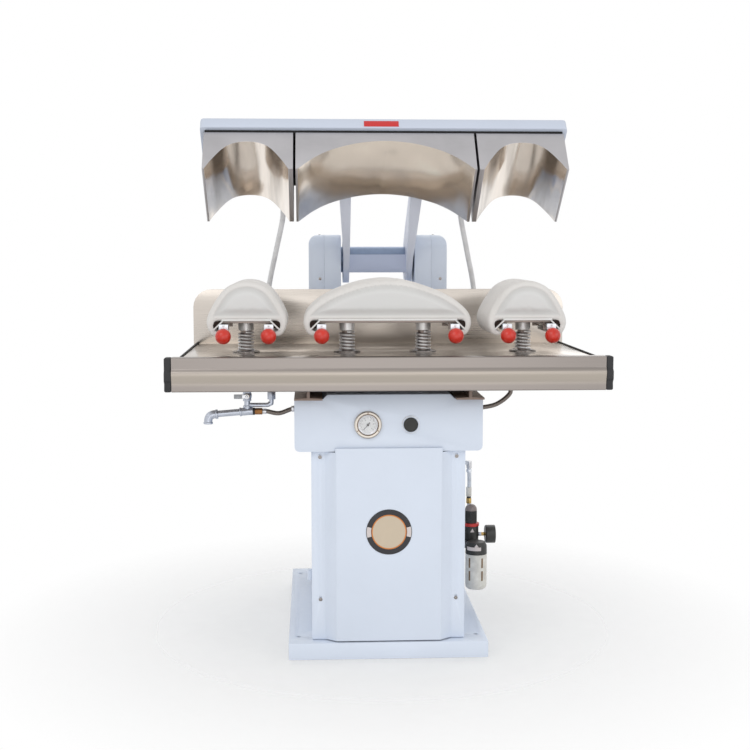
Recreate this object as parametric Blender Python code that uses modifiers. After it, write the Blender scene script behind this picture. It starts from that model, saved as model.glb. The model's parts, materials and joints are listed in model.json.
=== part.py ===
"""Collar and cuff press: a collar buck between two cuff bucks, all sprung, under a hinged steam head.

Metres, +Z up, the operator stands on the -Y side. The origin is on the floor under the machine's middle.
The head is shown open. Its pieces are built where they lie when the head is closed, and hang on an empty
at the pivot that is tilted back by the opening angle.
"""
import math

import bmesh
import bpy
from mathutils import Matrix, Vector

# Fits and sheet thicknesses
SEAT = 0.0003
RUN = 0.0004
OVERRUN = 0.010
SHEET = 0.003
COVER_SHEET = 0.002
EDGE_ROUND = 0.003
FINE_ROUND = 0.001

# Base and cabinet
BASE_WIDTH = 0.564
BASE_FRONT = -0.384
BASE_BACK = 0.450
BASE_HEIGHT = 0.048
PLINTH_SHEET = 0.004
PLINTH_LIP = 0.085
ANCHOR_HOLE = 0.014
ANCHOR_INSET_X = 0.028
ANCHOR_INSET_Y = 0.066
CABINET_WIDTH = 0.432
CABINET_FRONT = -0.352
CABINET_BACK = 0.440
CABINET_HEIGHT = 0.5414
TOWER_SETBACK = 0.0265
TOWER_HEIGHT = 0.3953
HATCH_MARGIN_X = 0.050
HATCH_MARGIN_Z = 0.045
CABLE_WAY = 0.160
ROD_SLOT = 0.026

# Raised front cover on its keyhole screws
COVER_RAISE = 0.026
COVER_FACE_INSET = 0.0695
COVER_BEVEL = 0.032
COVER_GAP = 0.004
COVER_OVERLAP = 0.010
COVER_EASE = 0.002
COVER_NOTCH_INSET = 0.066
KEYHOLE_RADIUS = 0.005
KEYHOLE_NECK = 0.006
KEYHOLE_RISE = 0.009
KEYHOLE_INSET = 0.0245
KEYHOLE_LOW = 0.114
KEYHOLE_TOP = 0.0157

# Control box with the steam gauge and the start button
BOX_WIDTH = 0.524
BOX_FRONT = -0.372
BOX_HEIGHT = 0.147
BOX_RAISE = 0.012
BOX_RAISE_GAP = 0.0015
BOX_CORNER = 0.014
BOX_LOOP_HEIGHT_share = 0.51
GAUGE_X = -0.0585
GAUGE_RADIUS = 0.0385
GAUGE_BODY_RADIUS = 0.031
GAUGE_RIM = 0.009
GAUGE_RIM_ROUND = 0.003
GAUGE_DISH = 0.006
GAUGE_LIP = 0.0105
GAUGE_BODY_DEPTH = 0.040
NEEDLE_LENGTH = 0.022
NEEDLE_HUB = 0.0035
NEEDLE_THICK = 0.0012
NEEDLE_WIDTH = 0.0024
NEEDLE_LIFT = 0.0008
NEEDLE_ANGLE = math.radians(-140)
BUTTON_X = 0.0605
BUTTON_RADIUS = 0.0200
BUTTON_RIM = 0.0035
BUTTON_PROUD = 0.012
BEZEL_HEIGHT = 0.006
BUTTON_NUT = 0.004
BUTTON_NUT_RADIUS = 0.012
BUTTON_STEM_RADIUS = 0.008
BUTTON_STEM = 0.026
BUTTON_TRAVEL = 0.005
BUTTON_ROUND = 0.0025

# Table, its bearers, the back panel and the front bar
BAR_FRONT = -0.450
BAR_DEPTH = 0.0435
BAR_HALF = 0.590
BAR_HEIGHT = 0.093
BAR_RISE = 0.006
BAR_WALL = 0.003
BAR_NOSE = 0.006
BAR_STRIP = 0.0315
BAR_BAND = 0.0355
BAR_CAP = 0.0197
BAR_CAP_ROUND = 0.004
BEARER_HEIGHT = 0.1134
BEARER_WIDTH = 0.078
BEARER_FLANGE = 0.005
BEARER_ROOT = 0.0065
BEARER_WEB = 0.008
BEARER_BACK_INSET = 0.010
TIE_HEIGHT = 0.040
TIE_DROP = 0.020
TIE_THICK = 0.010
TIE_Y = -0.045
TABLE_WIDTH = 1.150
TABLE_DEPTH = 0.5297
TABLE_LIP = 0.020
PANEL_HALF = 0.581
PANEL_RISE = 0.171
PANEL_DROP = 0.041
PANEL_CORNER = 0.056
PANEL_FOOT = 0.020
PANEL_FOOT_HALF = 0.100

# Guide bushes, posts and springs
CUFF_X = 0.3935
CUFF_POST_X = 0.402
COLLAR_POST_X = 0.1105
BUCK_Y = -0.185
BUSH_FLANGE_RADIUS = 0.039
BUSH_FLANGE = 0.005
BUSH_RADIUS = 0.025
BUSH_DROP = 0.050
POST_RADIUS = 0.015
POST_TAIL = 0.020
STOP_RADIUS = 0.022
STOP_RING = 0.012
COLLAR_RADIUS = 0.0215
COLLAR_HEIGHT = 0.0274
SPRING_LENGTH = 0.0567
SPRING_RADIUS = 0.0205
SPRING_WIRE = 0.003
SPRING_TURNS = 5
SPRING_POINTS = 8

# Bucks and their padding
BUCK_PLATE = 0.0075
BUCK_PLATE_INSET = 0.025
BUCK_PLATE_DEPTH = 0.230
PAD_DEPTH = 0.270
PAD_RIM = 0.016
PAD_RIM_STEPS = 3
CUFF_PAD_HALF = 0.1135
COLLAR_PAD_HALF = 0.2385
CUFF_PAD_RISE = 0.121
COLLAR_PAD_RISE = 0.1255
PAD_SAG = 0.0108
PAD_EASE_share = 0.333
LOBE_DROP = 0.0445
LOBE_REACH = 0.0405
LOBE_EASE_share = 0.35
LOBE_shares = ((0.11, 0.584), (0.383, 0.921), (0.728, 1.0), (0.97, 0.93), (0.99, 0.77), (0.704, 0.697),
               (0.481, 0.54), (0.407, 0.315), (0.481, 0.067), (0.58, 0.0))
CUFF_PAD_shares = ((0.0, 1.0), (0.22, 0.975), (0.437, 0.888), (0.58, 0.781), (0.71, 0.624), (0.83, 0.446),
                   (0.93, 0.264), (0.985, 0.124), (1.0, 0.0))
COLLAR_PAD_shares = ((0.0, 1.0), (0.25, 0.95), (0.46, 0.844), (0.65, 0.699), (0.80, 0.535), (0.90, 0.382),
                     (0.965, 0.24), (0.993, 0.1), (1.0, 0.0))

# Clamp levers that draw the covers tight
LEVER_CUFF_X = 0.062
LEVER_COLLAR_X = 0.1855
LEVER_DROP = 0.009
LEVER_SHAFT_RADIUS = 0.005
LEVER_FRONT = 0.030
LEVER_BLOCK_WIDTH = 0.026
LEVER_BLOCK_HEIGHT = 0.017
LEVER_BLOCK_DEPTH = 0.014
LEVER_BALL_RADIUS = 0.0205
LEVER_BALL_DROP = 0.023
LEVER_BALL_AHEAD = 0.020
LEVER_STUD_RADIUS = 0.005
LEVER_CAM = 0.012
LEVER_CAM_THICK = 0.006
LEVER_CAM_LENGTH = 0.060
LUG_WIDTH = 0.020
LUG_THICK = 0.008
LUG_DROP = 0.021
LUG_SPREAD = 0.085

# Pivot, housings and cylinder
PIVOT_SETBACK = 0.145
PIVOT_RISE = 0.129
OPEN_TILT = math.radians(39.5)
TUBE_RADIUS = 0.042
TUBE_END_GAP = 0.0015
JOURNAL_RADIUS = 0.020
JOURNAL_END_INSET = 0.015
HOUSING_DEPTH = 0.103
HOUSING_COVER = 0.0495
HOUSING_PROUD = 0.005
HOUSING_FRONT_INSET = 0.060
HOUSING_RISE = 0.080
HOUSING_CROWN = 0.050
HOUSING_SIDE_ROUND = 0.030
BEARING_RADIUS = 0.038
BEARING_WIDTH = 0.026
CRANK_INSET = 0.056
CRANK_WIDTH = 0.018
CRANK_REACH = 0.100
CRANK_HUB = 0.034
CRANK_END = 0.016
CRANK_SLOT_IN = 0.0025
CRANK_SLOT_OUT = 0.0013
CRANK_SLOT_PLAY = 0.0008
CRANK_PIN_RADIUS = 0.006
CLEVIS_CHEEK = 0.007
CLEVIS_RADIUS = 0.014
CLEVIS_LENGTH = 0.040
CLEVIS_CLEAR = 0.014
CLEVIS_ROUND_share = 0.9
ROD_RADIUS = 0.010
ROD_IN_CYLINDER = 0.020
CYLINDER_RADIUS = 0.034
CYLINDER_LENGTH = 0.190
CYLINDER_MARGIN = 0.030
CYLINDER_HEAD = 0.016
CYLINDER_WALL = 0.004
CYLINDER_FOOT_HALF = 0.030
PISTON_THICK = 0.020

# Head: chests, heat board, beam, cover and yoke
CHEST_DEPTH = 0.226
CHEST_HEIGHT = 0.139
ARCH_TIP = 0.006
PRESS_GAP = 0.0035
ARCH_STEPS = 2
TIP_LIFT = 0.0105
CUFF_CHEST_HALF = 0.1235
COLLAR_CHEST_HALF = 0.256
CHEST_GAP = 0.007
CUFF_ARCH_shares = ((0.0, 1.0), (0.23, 0.97), (0.42, 0.885), (0.57, 0.745), (0.70, 0.56), (0.80, 0.39),
                    (0.88, 0.25), (1.0, 0.0))
COLLAR_ARCH_shares = ((0.0, 1.0), (0.236, 0.952), (0.444, 0.831), (0.653, 0.635), (0.833, 0.36), (1.0, 0.0))
BOARD_THICK = 0.0105
BOARD_MARGIN = 0.002
BEAM_HALF = 0.470
BEAM_DEPTH = 0.060
BEAM_HEIGHT = 0.030
BEAM_BACK_INSET = 0.038
BEAM_WALL = 0.004
HOOD_MARGIN_X = 0.0115
HOOD_MARGIN_Y = 0.009
HOOD_HEIGHT = 0.041
HOOD_LIP = 0.018
HOOD_ROUND = 0.010
YOKE_ARM = 0.0195
YOKE_SIDE_GAP = 0.0075
YOKE_FLARE = 0.015
YOKE_HUB = 0.075
YOKE_CLEAR = 0.002
YOKE_FLARE_share = 0.25
YOKE_TOP_shares = ((0.0, 0.0), (0.13, 0.0), (0.3, 0.17), (0.5, 0.4), (0.78, 0.83))
YOKE_BOTTOM_shares = ((0.86, 0.96), (0.72, 0.86), (0.55, 0.62), (0.35, 0.32), (0.20, 0.10), (0.13, 0.0))
CROSS_THICK = 0.008
CROSS_HEIGHT = 0.056
CROSS_AHEAD = 0.075
CROSS_DROP = 0.011

# Hoses and pipes
HEAD_HOSE_RADIUS = 0.008
SIDE_HOSE_RADIUS = 0.0065
PIPE_RADIUS = 0.012
PORT_RADIUS = 0.011
PORT_LENGTH = 0.018
PORT_DROP = 0.040
LEFT_PORT_X = -0.297
RIGHT_PORT_X = 0.241
LEFT_HOSE_X = 0.352
RIGHT_HOSE_X = 0.304
HOSE_FOOT_Y = 0.175
HOSE_FOOT_Z = 0.840
HOSE_STRAIGHT = 0.030
ELBOW_DROP = 0.050
ELBOW_BEND = 0.022
ELBOW_SOCKET = 0.013
ELBOW_PIPE_RADIUS = 0.0085
PIPE_Z = 0.690
PIPE_FALL = 0.008
PIPE_END_X = -0.508
PIPE_MOUTH = 0.027
PIPE_BORE = 0.008
PIPE_THIN = 0.0095
ELBOW_BEND_share = 1.4
BEND_MIDDLE_share = 0.3
STEM_X = -0.397
STEM_RADIUS = 0.0085
VALVE_Z = 0.735
VALVE_RADIUS = 0.013
VALVE_LENGTH = 0.030
NUT_START = 0.022
NUT_LENGTH = 0.021
HANDLE_LENGTH = 0.036
HANDLE_LIFT = 0.010
HANDLE_WIDTH = 0.012
HANDLE_THICK = 0.003
HANDLE_POST = 0.004
RISER_X = -0.328
RISER_BEND = 0.016
RISER_DROP = 0.027
RISER_RADIUS = 0.0065
LOOP_Y = -0.260
LOOP_Z = 0.697
LOOP_STRAIGHT = 0.012
LOOP_SAG = 0.006
LOOP_DIP = 0.002
LOOP_LIFT = 0.042
LOOP_TURN_shares = (0.6, 0.25)
RIGHT_RISE_X = 0.356
RIGHT_RISE_Z = 0.780
UNION_RADIUS = 0.011

# Filter and regulator on the right side of the cabinet
FILTER_STAND_OFF = 0.0795
FILTER_Y = 0.000
REGULATOR_Y = 0.078
BOWL_RADIUS = 0.0335
BOWL_BOTTOM = 0.094
BOWL_HEIGHT = 0.1117
BOWL_ROUND = 0.012
FILTER_HEAD_HEIGHT = 0.037
REGULATOR_RADIUS = 0.024
REGULATOR_TOP = 0.0366
REGULATOR_INSET = 0.007
HEAD_TAPER_share = 0.8
BLOCK_HALF = 0.018
LOCK_RING_RADIUS = 0.026
LOCK_RING = 0.006
KNOB_RADIUS = 0.0195
KNOB_HEIGHT = 0.060
KNOB_DOME = 0.018
BRACKET_THICK = 0.004
BRACKET_HEIGHT = 0.040
BRACKET_START = 0.0168
SIDE_GAUGE_RADIUS = 0.0285
SIDE_GAUGE_DEPTH = 0.031
SIDE_GAUGE_NECK = 0.006
SIDE_GAUGE_STEM = 0.021
SIDE_GAUGE_RISE = 0.0424
AIR_PIPE_RADIUS = 0.0065
AIR_FITTING_RADIUS = 0.0095
AIR_PIPE_Y = 0.136
AIR_STRAIGHT = 0.012
AIR_SWEEP = 0.036
AIR_TOP_Z = 0.468
AIR_BEND = 0.022
AIR_NUT_shares = (0.38, 0.5, 0.8)

# Values that follow from the sizes above
HOUSING_OUT = CABINET_WIDTH / 2 + HOUSING_PROUD
HOUSING_IN = HOUSING_OUT - HOUSING_DEPTH
HOUSING_SEAM = HOUSING_OUT - HOUSING_COVER
TUBE_HALF = HOUSING_IN - TUBE_END_GAP
JOURNAL_HALF = HOUSING_OUT - JOURNAL_END_INSET
CRANK_X = CABINET_WIDTH / 2 - CRANK_INSET
YOKE_OUTER = HOUSING_IN - YOKE_SIDE_GAP
YOKE_INNER = YOKE_OUTER - YOKE_ARM
FILTER_X = CABINET_WIDTH / 2 + FILTER_STAND_OFF
REGULATOR_X = FILTER_X - REGULATOR_INSET
BOX_RAISE_HALF = BOX_WIDTH / 2 - BEARER_WIDTH - BOX_RAISE_GAP
COVER_FACE_HALF = CABINET_WIDTH / 2 - COVER_FACE_INSET
COVER_NOTCH = CABINET_WIDTH / 2 - COVER_NOTCH_INSET
CABINET_BOTTOM = BASE_HEIGHT + SEAT
SHOULDER_Z = CABINET_BOTTOM + CABINET_HEIGHT
TOWER_TOP = SHOULDER_Z + TOWER_HEIGHT
BOX_BOTTOM = SHOULDER_Z + SEAT
BOX_TOP = BOX_BOTTOM + BOX_HEIGHT
CONTROL_Z = BOX_BOTTOM + BOX_HEIGHT * BOX_LOOP_HEIGHT_share
BEARER_BOTTOM = BOX_TOP + SEAT
TABLE_UNDER = BEARER_BOTTOM + BEARER_HEIGHT + SEAT
TABLE_Z = TABLE_UNDER + COVER_SHEET
TABLE_FRONT = BAR_FRONT + BAR_DEPTH + SEAT
TABLE_BACK = TABLE_FRONT + TABLE_DEPTH
TOWER_FRONT = TABLE_BACK + TOWER_SETBACK
BAR_TOP = TABLE_Z + BAR_RISE
BUSH_TOP = TABLE_Z + SEAT + BUSH_FLANGE
SPRING_BOTTOM = BUSH_TOP + SEAT
COLLAR_BOTTOM = SPRING_BOTTOM + SPRING_LENGTH + SEAT
PLATE_BOTTOM = COLLAR_BOTTOM + COLLAR_HEIGHT
PLATE_TOP = PLATE_BOTTOM + BUCK_PLATE
PAD_BOTTOM = PLATE_TOP + SEAT
LEVER_Z = PLATE_BOTTOM - LEVER_DROP
PAD_FRONT = BUCK_Y - PAD_DEPTH / 2
PAD_WAIST = PAD_BOTTOM - PAD_SAG
CHEST_BOTTOM = PLATE_TOP + TIP_LIFT
CHEST_TOP = CHEST_BOTTOM + CHEST_HEIGHT
CHEST_FRONT = BUCK_Y - CHEST_DEPTH / 2
CHEST_BACK = BUCK_Y + CHEST_DEPTH / 2
HEAD_HALF = CUFF_X + CUFF_CHEST_HALF
BOARD_TOP = CHEST_TOP + SEAT + BOARD_THICK
PIVOT = Vector((0.0, TOWER_FRONT + PIVOT_SETBACK, TOWER_TOP + PIVOT_RISE))
HOUSING_FRONT = TOWER_FRONT + HOUSING_FRONT_INSET
CRANK_PIN_Y = PIVOT.y + CRANK_REACH * math.cos(OPEN_TILT / 2)
CRANK_PIN_Z = PIVOT.z - CRANK_REACH * math.sin(OPEN_TILT / 2)
BEAM_BACK = CHEST_BACK - BEAM_BACK_INSET
HOOD_TOP = BOARD_TOP + SEAT + HOOD_HEIGHT
ELBOW_Z = HOSE_FOOT_Z - ELBOW_DROP

# The routes of the two head hoses with the head open, between their straight ends
LEFT_HEAD_HOSE = ((-0.300, 0.042, 1.235), (-0.322, 0.095, 1.140), (-0.346, 0.146, 1.030),
                  (-0.352, 0.172, 0.940))
RIGHT_HEAD_HOSE = ((0.246, 0.042, 1.240), (0.272, 0.095, 1.140), (0.299, 0.146, 1.030),
                   (0.304, 0.172, 0.940))

# Colours, roughness and metallic value of each finish
FINISHES = {
    "paint": ((0.70, 0.76, 0.84, 1), 0.45, 0.0),
    "stainless": ((0.62, 0.58, 0.53, 1), 0.30, 1.0),
    "steel": ((0.62, 0.62, 0.64, 1), 0.28, 1.0),
    "dark_steel": ((0.16, 0.20, 0.28, 1), 0.35, 0.8),
    "chest_metal": ((0.50, 0.44, 0.38, 1), 0.35, 1.0),
    "rubber": ((0.02, 0.02, 0.022, 1), 0.70, 0.0),
    "black_plastic": ((0.03, 0.03, 0.03, 1), 0.50, 0.0),
    "red_plastic": ((0.72, 0.06, 0.03, 1), 0.30, 0.0),
    "cloth": ((0.80, 0.79, 0.77, 1), 0.90, 0.0),
    "hose": ((0.78, 0.78, 0.78, 1), 0.55, 0.0),
    "braid": ((0.20, 0.17, 0.15, 1), 0.60, 0.2),
    "pale": ((0.72, 0.72, 0.69, 1), 0.50, 0.0),
}

PLANES = {
    "XY": Matrix(((1, 0, 0, 0), (0, 1, 0, 0), (0, 0, 1, 0), (0, 0, 0, 1))),
    "XZ": Matrix(((1, 0, 0, 0), (0, 0, -1, 0), (0, 1, 0, 0), (0, 0, 0, 1))),
    "YZ": Matrix(((0, 0, 1, 0), (1, 0, 0, 0), (0, 1, 0, 0), (0, 0, 0, 1))),
}

for leftover in list(bpy.data.objects):
    bpy.data.objects.remove(leftover)

PARTS = bpy.data.collections.new("collar_and_cuff_press")
AXES = bpy.data.collections.new("joint_axes")
bpy.context.scene.collection.children.link(PARTS)
bpy.context.scene.collection.children.link(AXES)


# Building helpers

def finish(name):
    """The material of a finish, made the first time it is asked for."""
    material = bpy.data.materials.get(name)
    if material is None:
        colour, roughness, metallic = FINISHES[name]
        material = bpy.data.materials.new(name)
        material.use_nodes = True
        shader = material.node_tree.nodes["Principled BSDF"]
        shader.inputs["Base Color"].default_value = colour
        shader.inputs["Roughness"].default_value = roughness
        shader.inputs["Metallic"].default_value = metallic
    return material


def piece(name, mesh, finish_name):
    """A named object of the model, in its finish, with its flat faces sharp and its round ones smooth."""
    mesh.name = name
    mesh.materials.clear()
    mesh.materials.append(finish(finish_name))
    mesh.shade_smooth()
    mesh.set_sharp_from_angle(angle=math.radians(32))
    made = bpy.data.objects.new(name, mesh)
    PARTS.objects.link(made)
    return made


def mesh_of(shape):
    """A plain mesh of an object as its modifiers leave it. The object itself is removed."""
    PARTS.objects.link(shape)
    mesh = bpy.data.meshes.new_from_object(shape.evaluated_get(bpy.context.evaluated_depsgraph_get()))
    bpy.data.objects.remove(shape)
    work = bmesh.new()
    work.from_mesh(mesh)
    bmesh.ops.remove_doubles(work, verts=work.verts, dist=1e-6)
    work.to_mesh(mesh)
    work.free()
    return mesh


def box(low, high):
    """A block between two corners."""
    work = bmesh.new()
    bmesh.ops.create_cube(work, size=1)
    low, high = Vector(low), Vector(high)
    bmesh.ops.scale(work, vec=high - low, verts=work.verts)
    bmesh.ops.translate(work, vec=(low + high) / 2, verts=work.verts)
    mesh = bpy.data.meshes.new("box")
    work.to_mesh(mesh)
    work.free()
    return mesh


def rod(start, end, radius, sides=24, end_radius=None):
    """A round bar, or a cone, from one point to another."""
    start, end = Vector(start), Vector(end)
    work = bmesh.new()
    bmesh.ops.create_cone(work, cap_ends=True, segments=sides, radius1=radius,
                          radius2=radius if end_radius is None else end_radius, depth=(end - start).length)
    turn = (end - start).to_track_quat("Z", "Y").to_matrix().to_4x4()
    mesh = bpy.data.meshes.new("rod")
    work.to_mesh(mesh)
    work.free()
    mesh.transform(Matrix.Translation((start + end) / 2) @ turn)
    return mesh


def ball(centre, radius):
    """A sphere."""
    work = bmesh.new()
    bmesh.ops.create_uvsphere(work, u_segments=14, v_segments=8, radius=radius)
    mesh = bpy.data.meshes.new("ball")
    work.to_mesh(mesh)
    work.free()
    mesh.transform(Matrix.Translation(centre))
    return mesh


def outline(loops, plane, low, high):
    """A flat outline with its holes, drawn in a plane and as thick as low to high across it."""
    curve = bpy.data.curves.new("outline", "CURVE")
    curve.dimensions = "2D"
    curve.fill_mode = "BOTH"
    curve.extrude = (high - low) / 2
    for loop in loops:
        spline = curve.splines.new("POLY")
        spline.points.add(len(loop) - 1)
        for point, place in zip(spline.points, loop):
            point.co = (place[0], place[1], 0, 1)
        spline.use_cyclic_u = True
    mesh = mesh_of(bpy.data.objects.new("outline", curve))
    middle = (low + high) / 2
    mesh.transform(PLANES[plane] @ Matrix.Translation((0, 0, -middle if plane == "XZ" else middle)))
    return mesh


def turned(profile, centre, axis=(0, 0, 1), sides=32):
    """A solid or ring turned about an axis, from (radius, height) points that run down its outer side."""
    closed = profile[0][0] > 0
    work = bmesh.new()
    corners = [work.verts.new((radius, 0, height)) for radius, height in profile]
    for start, end in zip(corners, corners[1:] + (corners[:1] if closed else [])):
        work.edges.new((start, end))
    mesh = bpy.data.meshes.new("turned")
    work.to_mesh(mesh)
    work.free()
    shape = bpy.data.objects.new("turned", mesh)
    screw = shape.modifiers.new("turn", "SCREW")
    screw.steps = sides
    screw.render_steps = sides
    screw.use_merge_vertices = True
    screw.merge_threshold = 0.00001
    mesh = mesh_of(shape)
    turn = Vector(axis).to_track_quat("Z", "Y").to_matrix().to_4x4()
    mesh.transform(Matrix.Translation(centre) @ turn)
    return outward(mesh)


def outward(mesh):
    """The same mesh with its faces pointing out."""
    work = bmesh.new()
    work.from_mesh(mesh)
    bmesh.ops.recalc_face_normals(work, faces=work.faces)
    work.to_mesh(mesh)
    work.free()
    return mesh


def tube(points, radius, sides_level=2):
    """A round tube, filled at its ends, along a list of points."""
    curve = bpy.data.curves.new("tube", "CURVE")
    curve.dimensions = "3D"
    curve.bevel_depth = radius
    curve.bevel_resolution = sides_level
    curve.use_fill_caps = True
    spline = curve.splines.new("POLY")
    spline.points.add(len(points) - 1)
    for point, place in zip(spline.points, points):
        point.co = (*place, 1)
    return outward(mesh_of(bpy.data.objects.new("tube", curve)))


def combine(first, others, operation):
    """One mesh and others, joined by UNION or cut by DIFFERENCE."""
    target = bpy.data.objects.new("target", first)
    tools = []
    for other in others:
        tool = bpy.data.objects.new("tool", other)
        tool.hide_render = True
        tool.display_type = "WIRE"
        AXES.objects.link(tool)
        tools.append(tool)
        change = target.modifiers.new("change", "BOOLEAN")
        change.operation = operation
        change.solver = "EXACT"
        change.object = tool
    mesh = mesh_of(target)
    for tool in tools:
        bpy.data.objects.remove(tool)
    return mesh


def cut(mesh, *cutters):
    return combine(mesh, cutters, "DIFFERENCE")


def weld(mesh, *others):
    return combine(mesh, others, "UNION")


def rounded_edges(mesh, width, segments=2, angle=math.radians(40)):
    """The same mesh with its sharp edges rounded."""
    shape = bpy.data.objects.new("rounded", mesh)
    bevel = shape.modifiers.new("round", "BEVEL")
    bevel.width = width
    bevel.segments = segments
    bevel.limit_method = "ANGLE"
    bevel.angle_limit = angle
    return mesh_of(shape)


def sheet(mesh, thickness):
    """An open surface given its thickness on the inner side."""
    shape = bpy.data.objects.new("sheet", mesh)
    shell = shape.modifiers.new("sheet", "SOLIDIFY")
    shell.thickness = thickness
    shell.offset = -1
    shell.use_even_offset = True
    return outward(mesh_of(shape))


def circle(u, v, radius, sides=24):
    """Points round a circle in an outline."""
    return [(u + radius * math.cos(2 * math.pi * i / sides), v + radius * math.sin(2 * math.pi * i / sides))
            for i in range(sides)]


def arc(u, v, radius, start, end, steps):
    """Points along an arc in an outline, between two angles in degrees."""
    angles = [math.radians(start + (end - start) * i / steps) for i in range(steps + 1)]
    return [(u + radius * math.cos(angle), v + radius * math.sin(angle)) for angle in angles]


def rectangle(u0, u1, v0, v1, bottom=0.0, top=0.0, steps=4):
    """A rectangle's outline, anticlockwise, with rounded bottom and top corners."""
    points = []
    for u, v, radius, start in ((u0, v0, bottom, 180), (u1, v0, bottom, 270), (u1, v1, top, 0),
                                (u0, v1, top, 90)):
        if radius > 0:
            centre_u = u + radius if u == u0 else u - radius
            centre_v = v + radius if v == v0 else v - radius
            points += arc(centre_u, centre_v, radius, start, start + 90, steps)
        else:
            points.append((u, v))
    return points


def between(before, start, end, after, steps):
    """Points from start to just before end on a smooth curve (Catmull-Rom) past four points."""
    made = []
    for step in range(steps):
        t = step / steps
        cubic = 3 * start - before - 3 * end + after
        square = 2 * before - 5 * start + 4 * end - after
        made.append(0.5 * (2 * start + (end - before) * t + square * t ** 2 + cubic * t ** 3))
    return made


def smooth_through(points, steps):
    """A smooth curve through all the given points."""
    points = [Vector(point) for point in points]
    ends = [2 * points[0] - points[1]] + points + [2 * points[-1] - points[-2]]
    made = []
    for group in zip(ends, ends[1:], ends[2:], ends[3:]):
        made += between(*group, steps)
    return made + [points[-1]]


def route_through(points, steps):
    """A hose's route: straight over its first and last stretch, and a smooth curve between them."""
    points = [Vector(point) for point in points]
    made = [points[0]]
    for group in zip(points, points[1:], points[2:], points[3:]):
        made += between(*group, steps)
    return made + points[-2:]


def arch(shares, half, rise, steps=3):
    """A symmetrical arch from its right foot over the crown to its left foot, from a table of shares."""
    side = smooth_through([(-x, z) for x, z in reversed(shares)] + [(x, z) for x, z in shares[1:]], steps)
    return [(-point[0] * half, point[1] * rise) for point in side]


def axis_at(name, place, tilt=0.0):
    """An empty on a joint's axis. Pieces that move with the joint hang on it."""
    empty = bpy.data.objects.new(name, None)
    empty.location = place
    empty.rotation_euler = (tilt, 0, 0)
    AXES.objects.link(empty)
    return empty


def hang(made, empty):
    """Hang a piece on an axis, with its own origin there."""
    made.data.transform(Matrix.Translation(-empty.location))
    made.parent = empty
    return made


def slab(u, v, plane, low, high):
    """A plain rectangular plate between two pairs of sizes in a plane."""
    return outline([rectangle(u[0], u[1], v[0], v[1])], plane, low, high)


def folded(profile, plane, low, high, thickness):
    """A folded sheet: an open profile drawn in a plane and drawn out from low to high."""
    work = bmesh.new()
    corners = [work.verts.new((u, v, low)) for u, v in profile]
    edges = [work.edges.new(pair) for pair in zip(corners, corners[1:])]
    drawn = bmesh.ops.extrude_edge_only(work, edges=edges)["geom"]
    bmesh.ops.translate(work, vec=(0, 0, high - low),
                        verts=[v for v in drawn if isinstance(v, bmesh.types.BMVert)])
    mesh = bpy.data.meshes.new("folded")
    work.to_mesh(mesh)
    work.free()
    mesh.transform(PLANES[plane])
    return sheet(mesh, thickness)


def loft(sections):
    """A closed skin through like sections, with its first and last sections filled."""
    work = bmesh.new()
    rings = [[work.verts.new(point) for point in section] for section in sections]
    for near, far in zip(rings, rings[1:]):
        for i, start in enumerate(near):
            following = (i + 1) % len(near)
            work.faces.new((start, near[following], far[following], far[i]))
    work.faces.new(rings[0])
    work.faces.new(rings[-1])
    mesh = bpy.data.meshes.new("loft")
    work.to_mesh(mesh)
    work.free()
    return outward(mesh)


def mirrored(mesh):
    """The same mesh on the other side of the middle plane."""
    other = mesh.copy()
    other.transform(Matrix.Scale(-1, 4, (1, 0, 0)))
    return outward(other)


# Frame, cabinet and covers

def make_base():
    """A folded plinth with a lip turned in below, and holes for floor anchors through its top and lip."""
    half = BASE_WIDTH / 2
    skin = PLINTH_SHEET
    lip = PLINTH_LIP
    plinth = rounded_edges(box((-half, BASE_FRONT, 0), (half, BASE_BACK, BASE_HEIGHT)), EDGE_ROUND)
    inside = box((skin - half, BASE_FRONT + skin, skin), (half - skin, BASE_BACK - skin, BASE_HEIGHT - skin))
    mouth = box((lip - half, BASE_FRONT + lip, -OVERRUN), (half - lip, BASE_BACK - lip, 2 * skin))
    x = half - ANCHOR_INSET_X
    holes = [rod((side * x, y, -OVERRUN), (side * x, y, BASE_HEIGHT + OVERRUN), ANCHOR_HOLE / 2, 16)
             for side in (-1, 1) for y in (BASE_FRONT + ANCHOR_INSET_Y, BASE_BACK - ANCHOR_INSET_Y)]
    piece("base", cut(plinth, inside, mouth, *holes), "paint")


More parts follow.
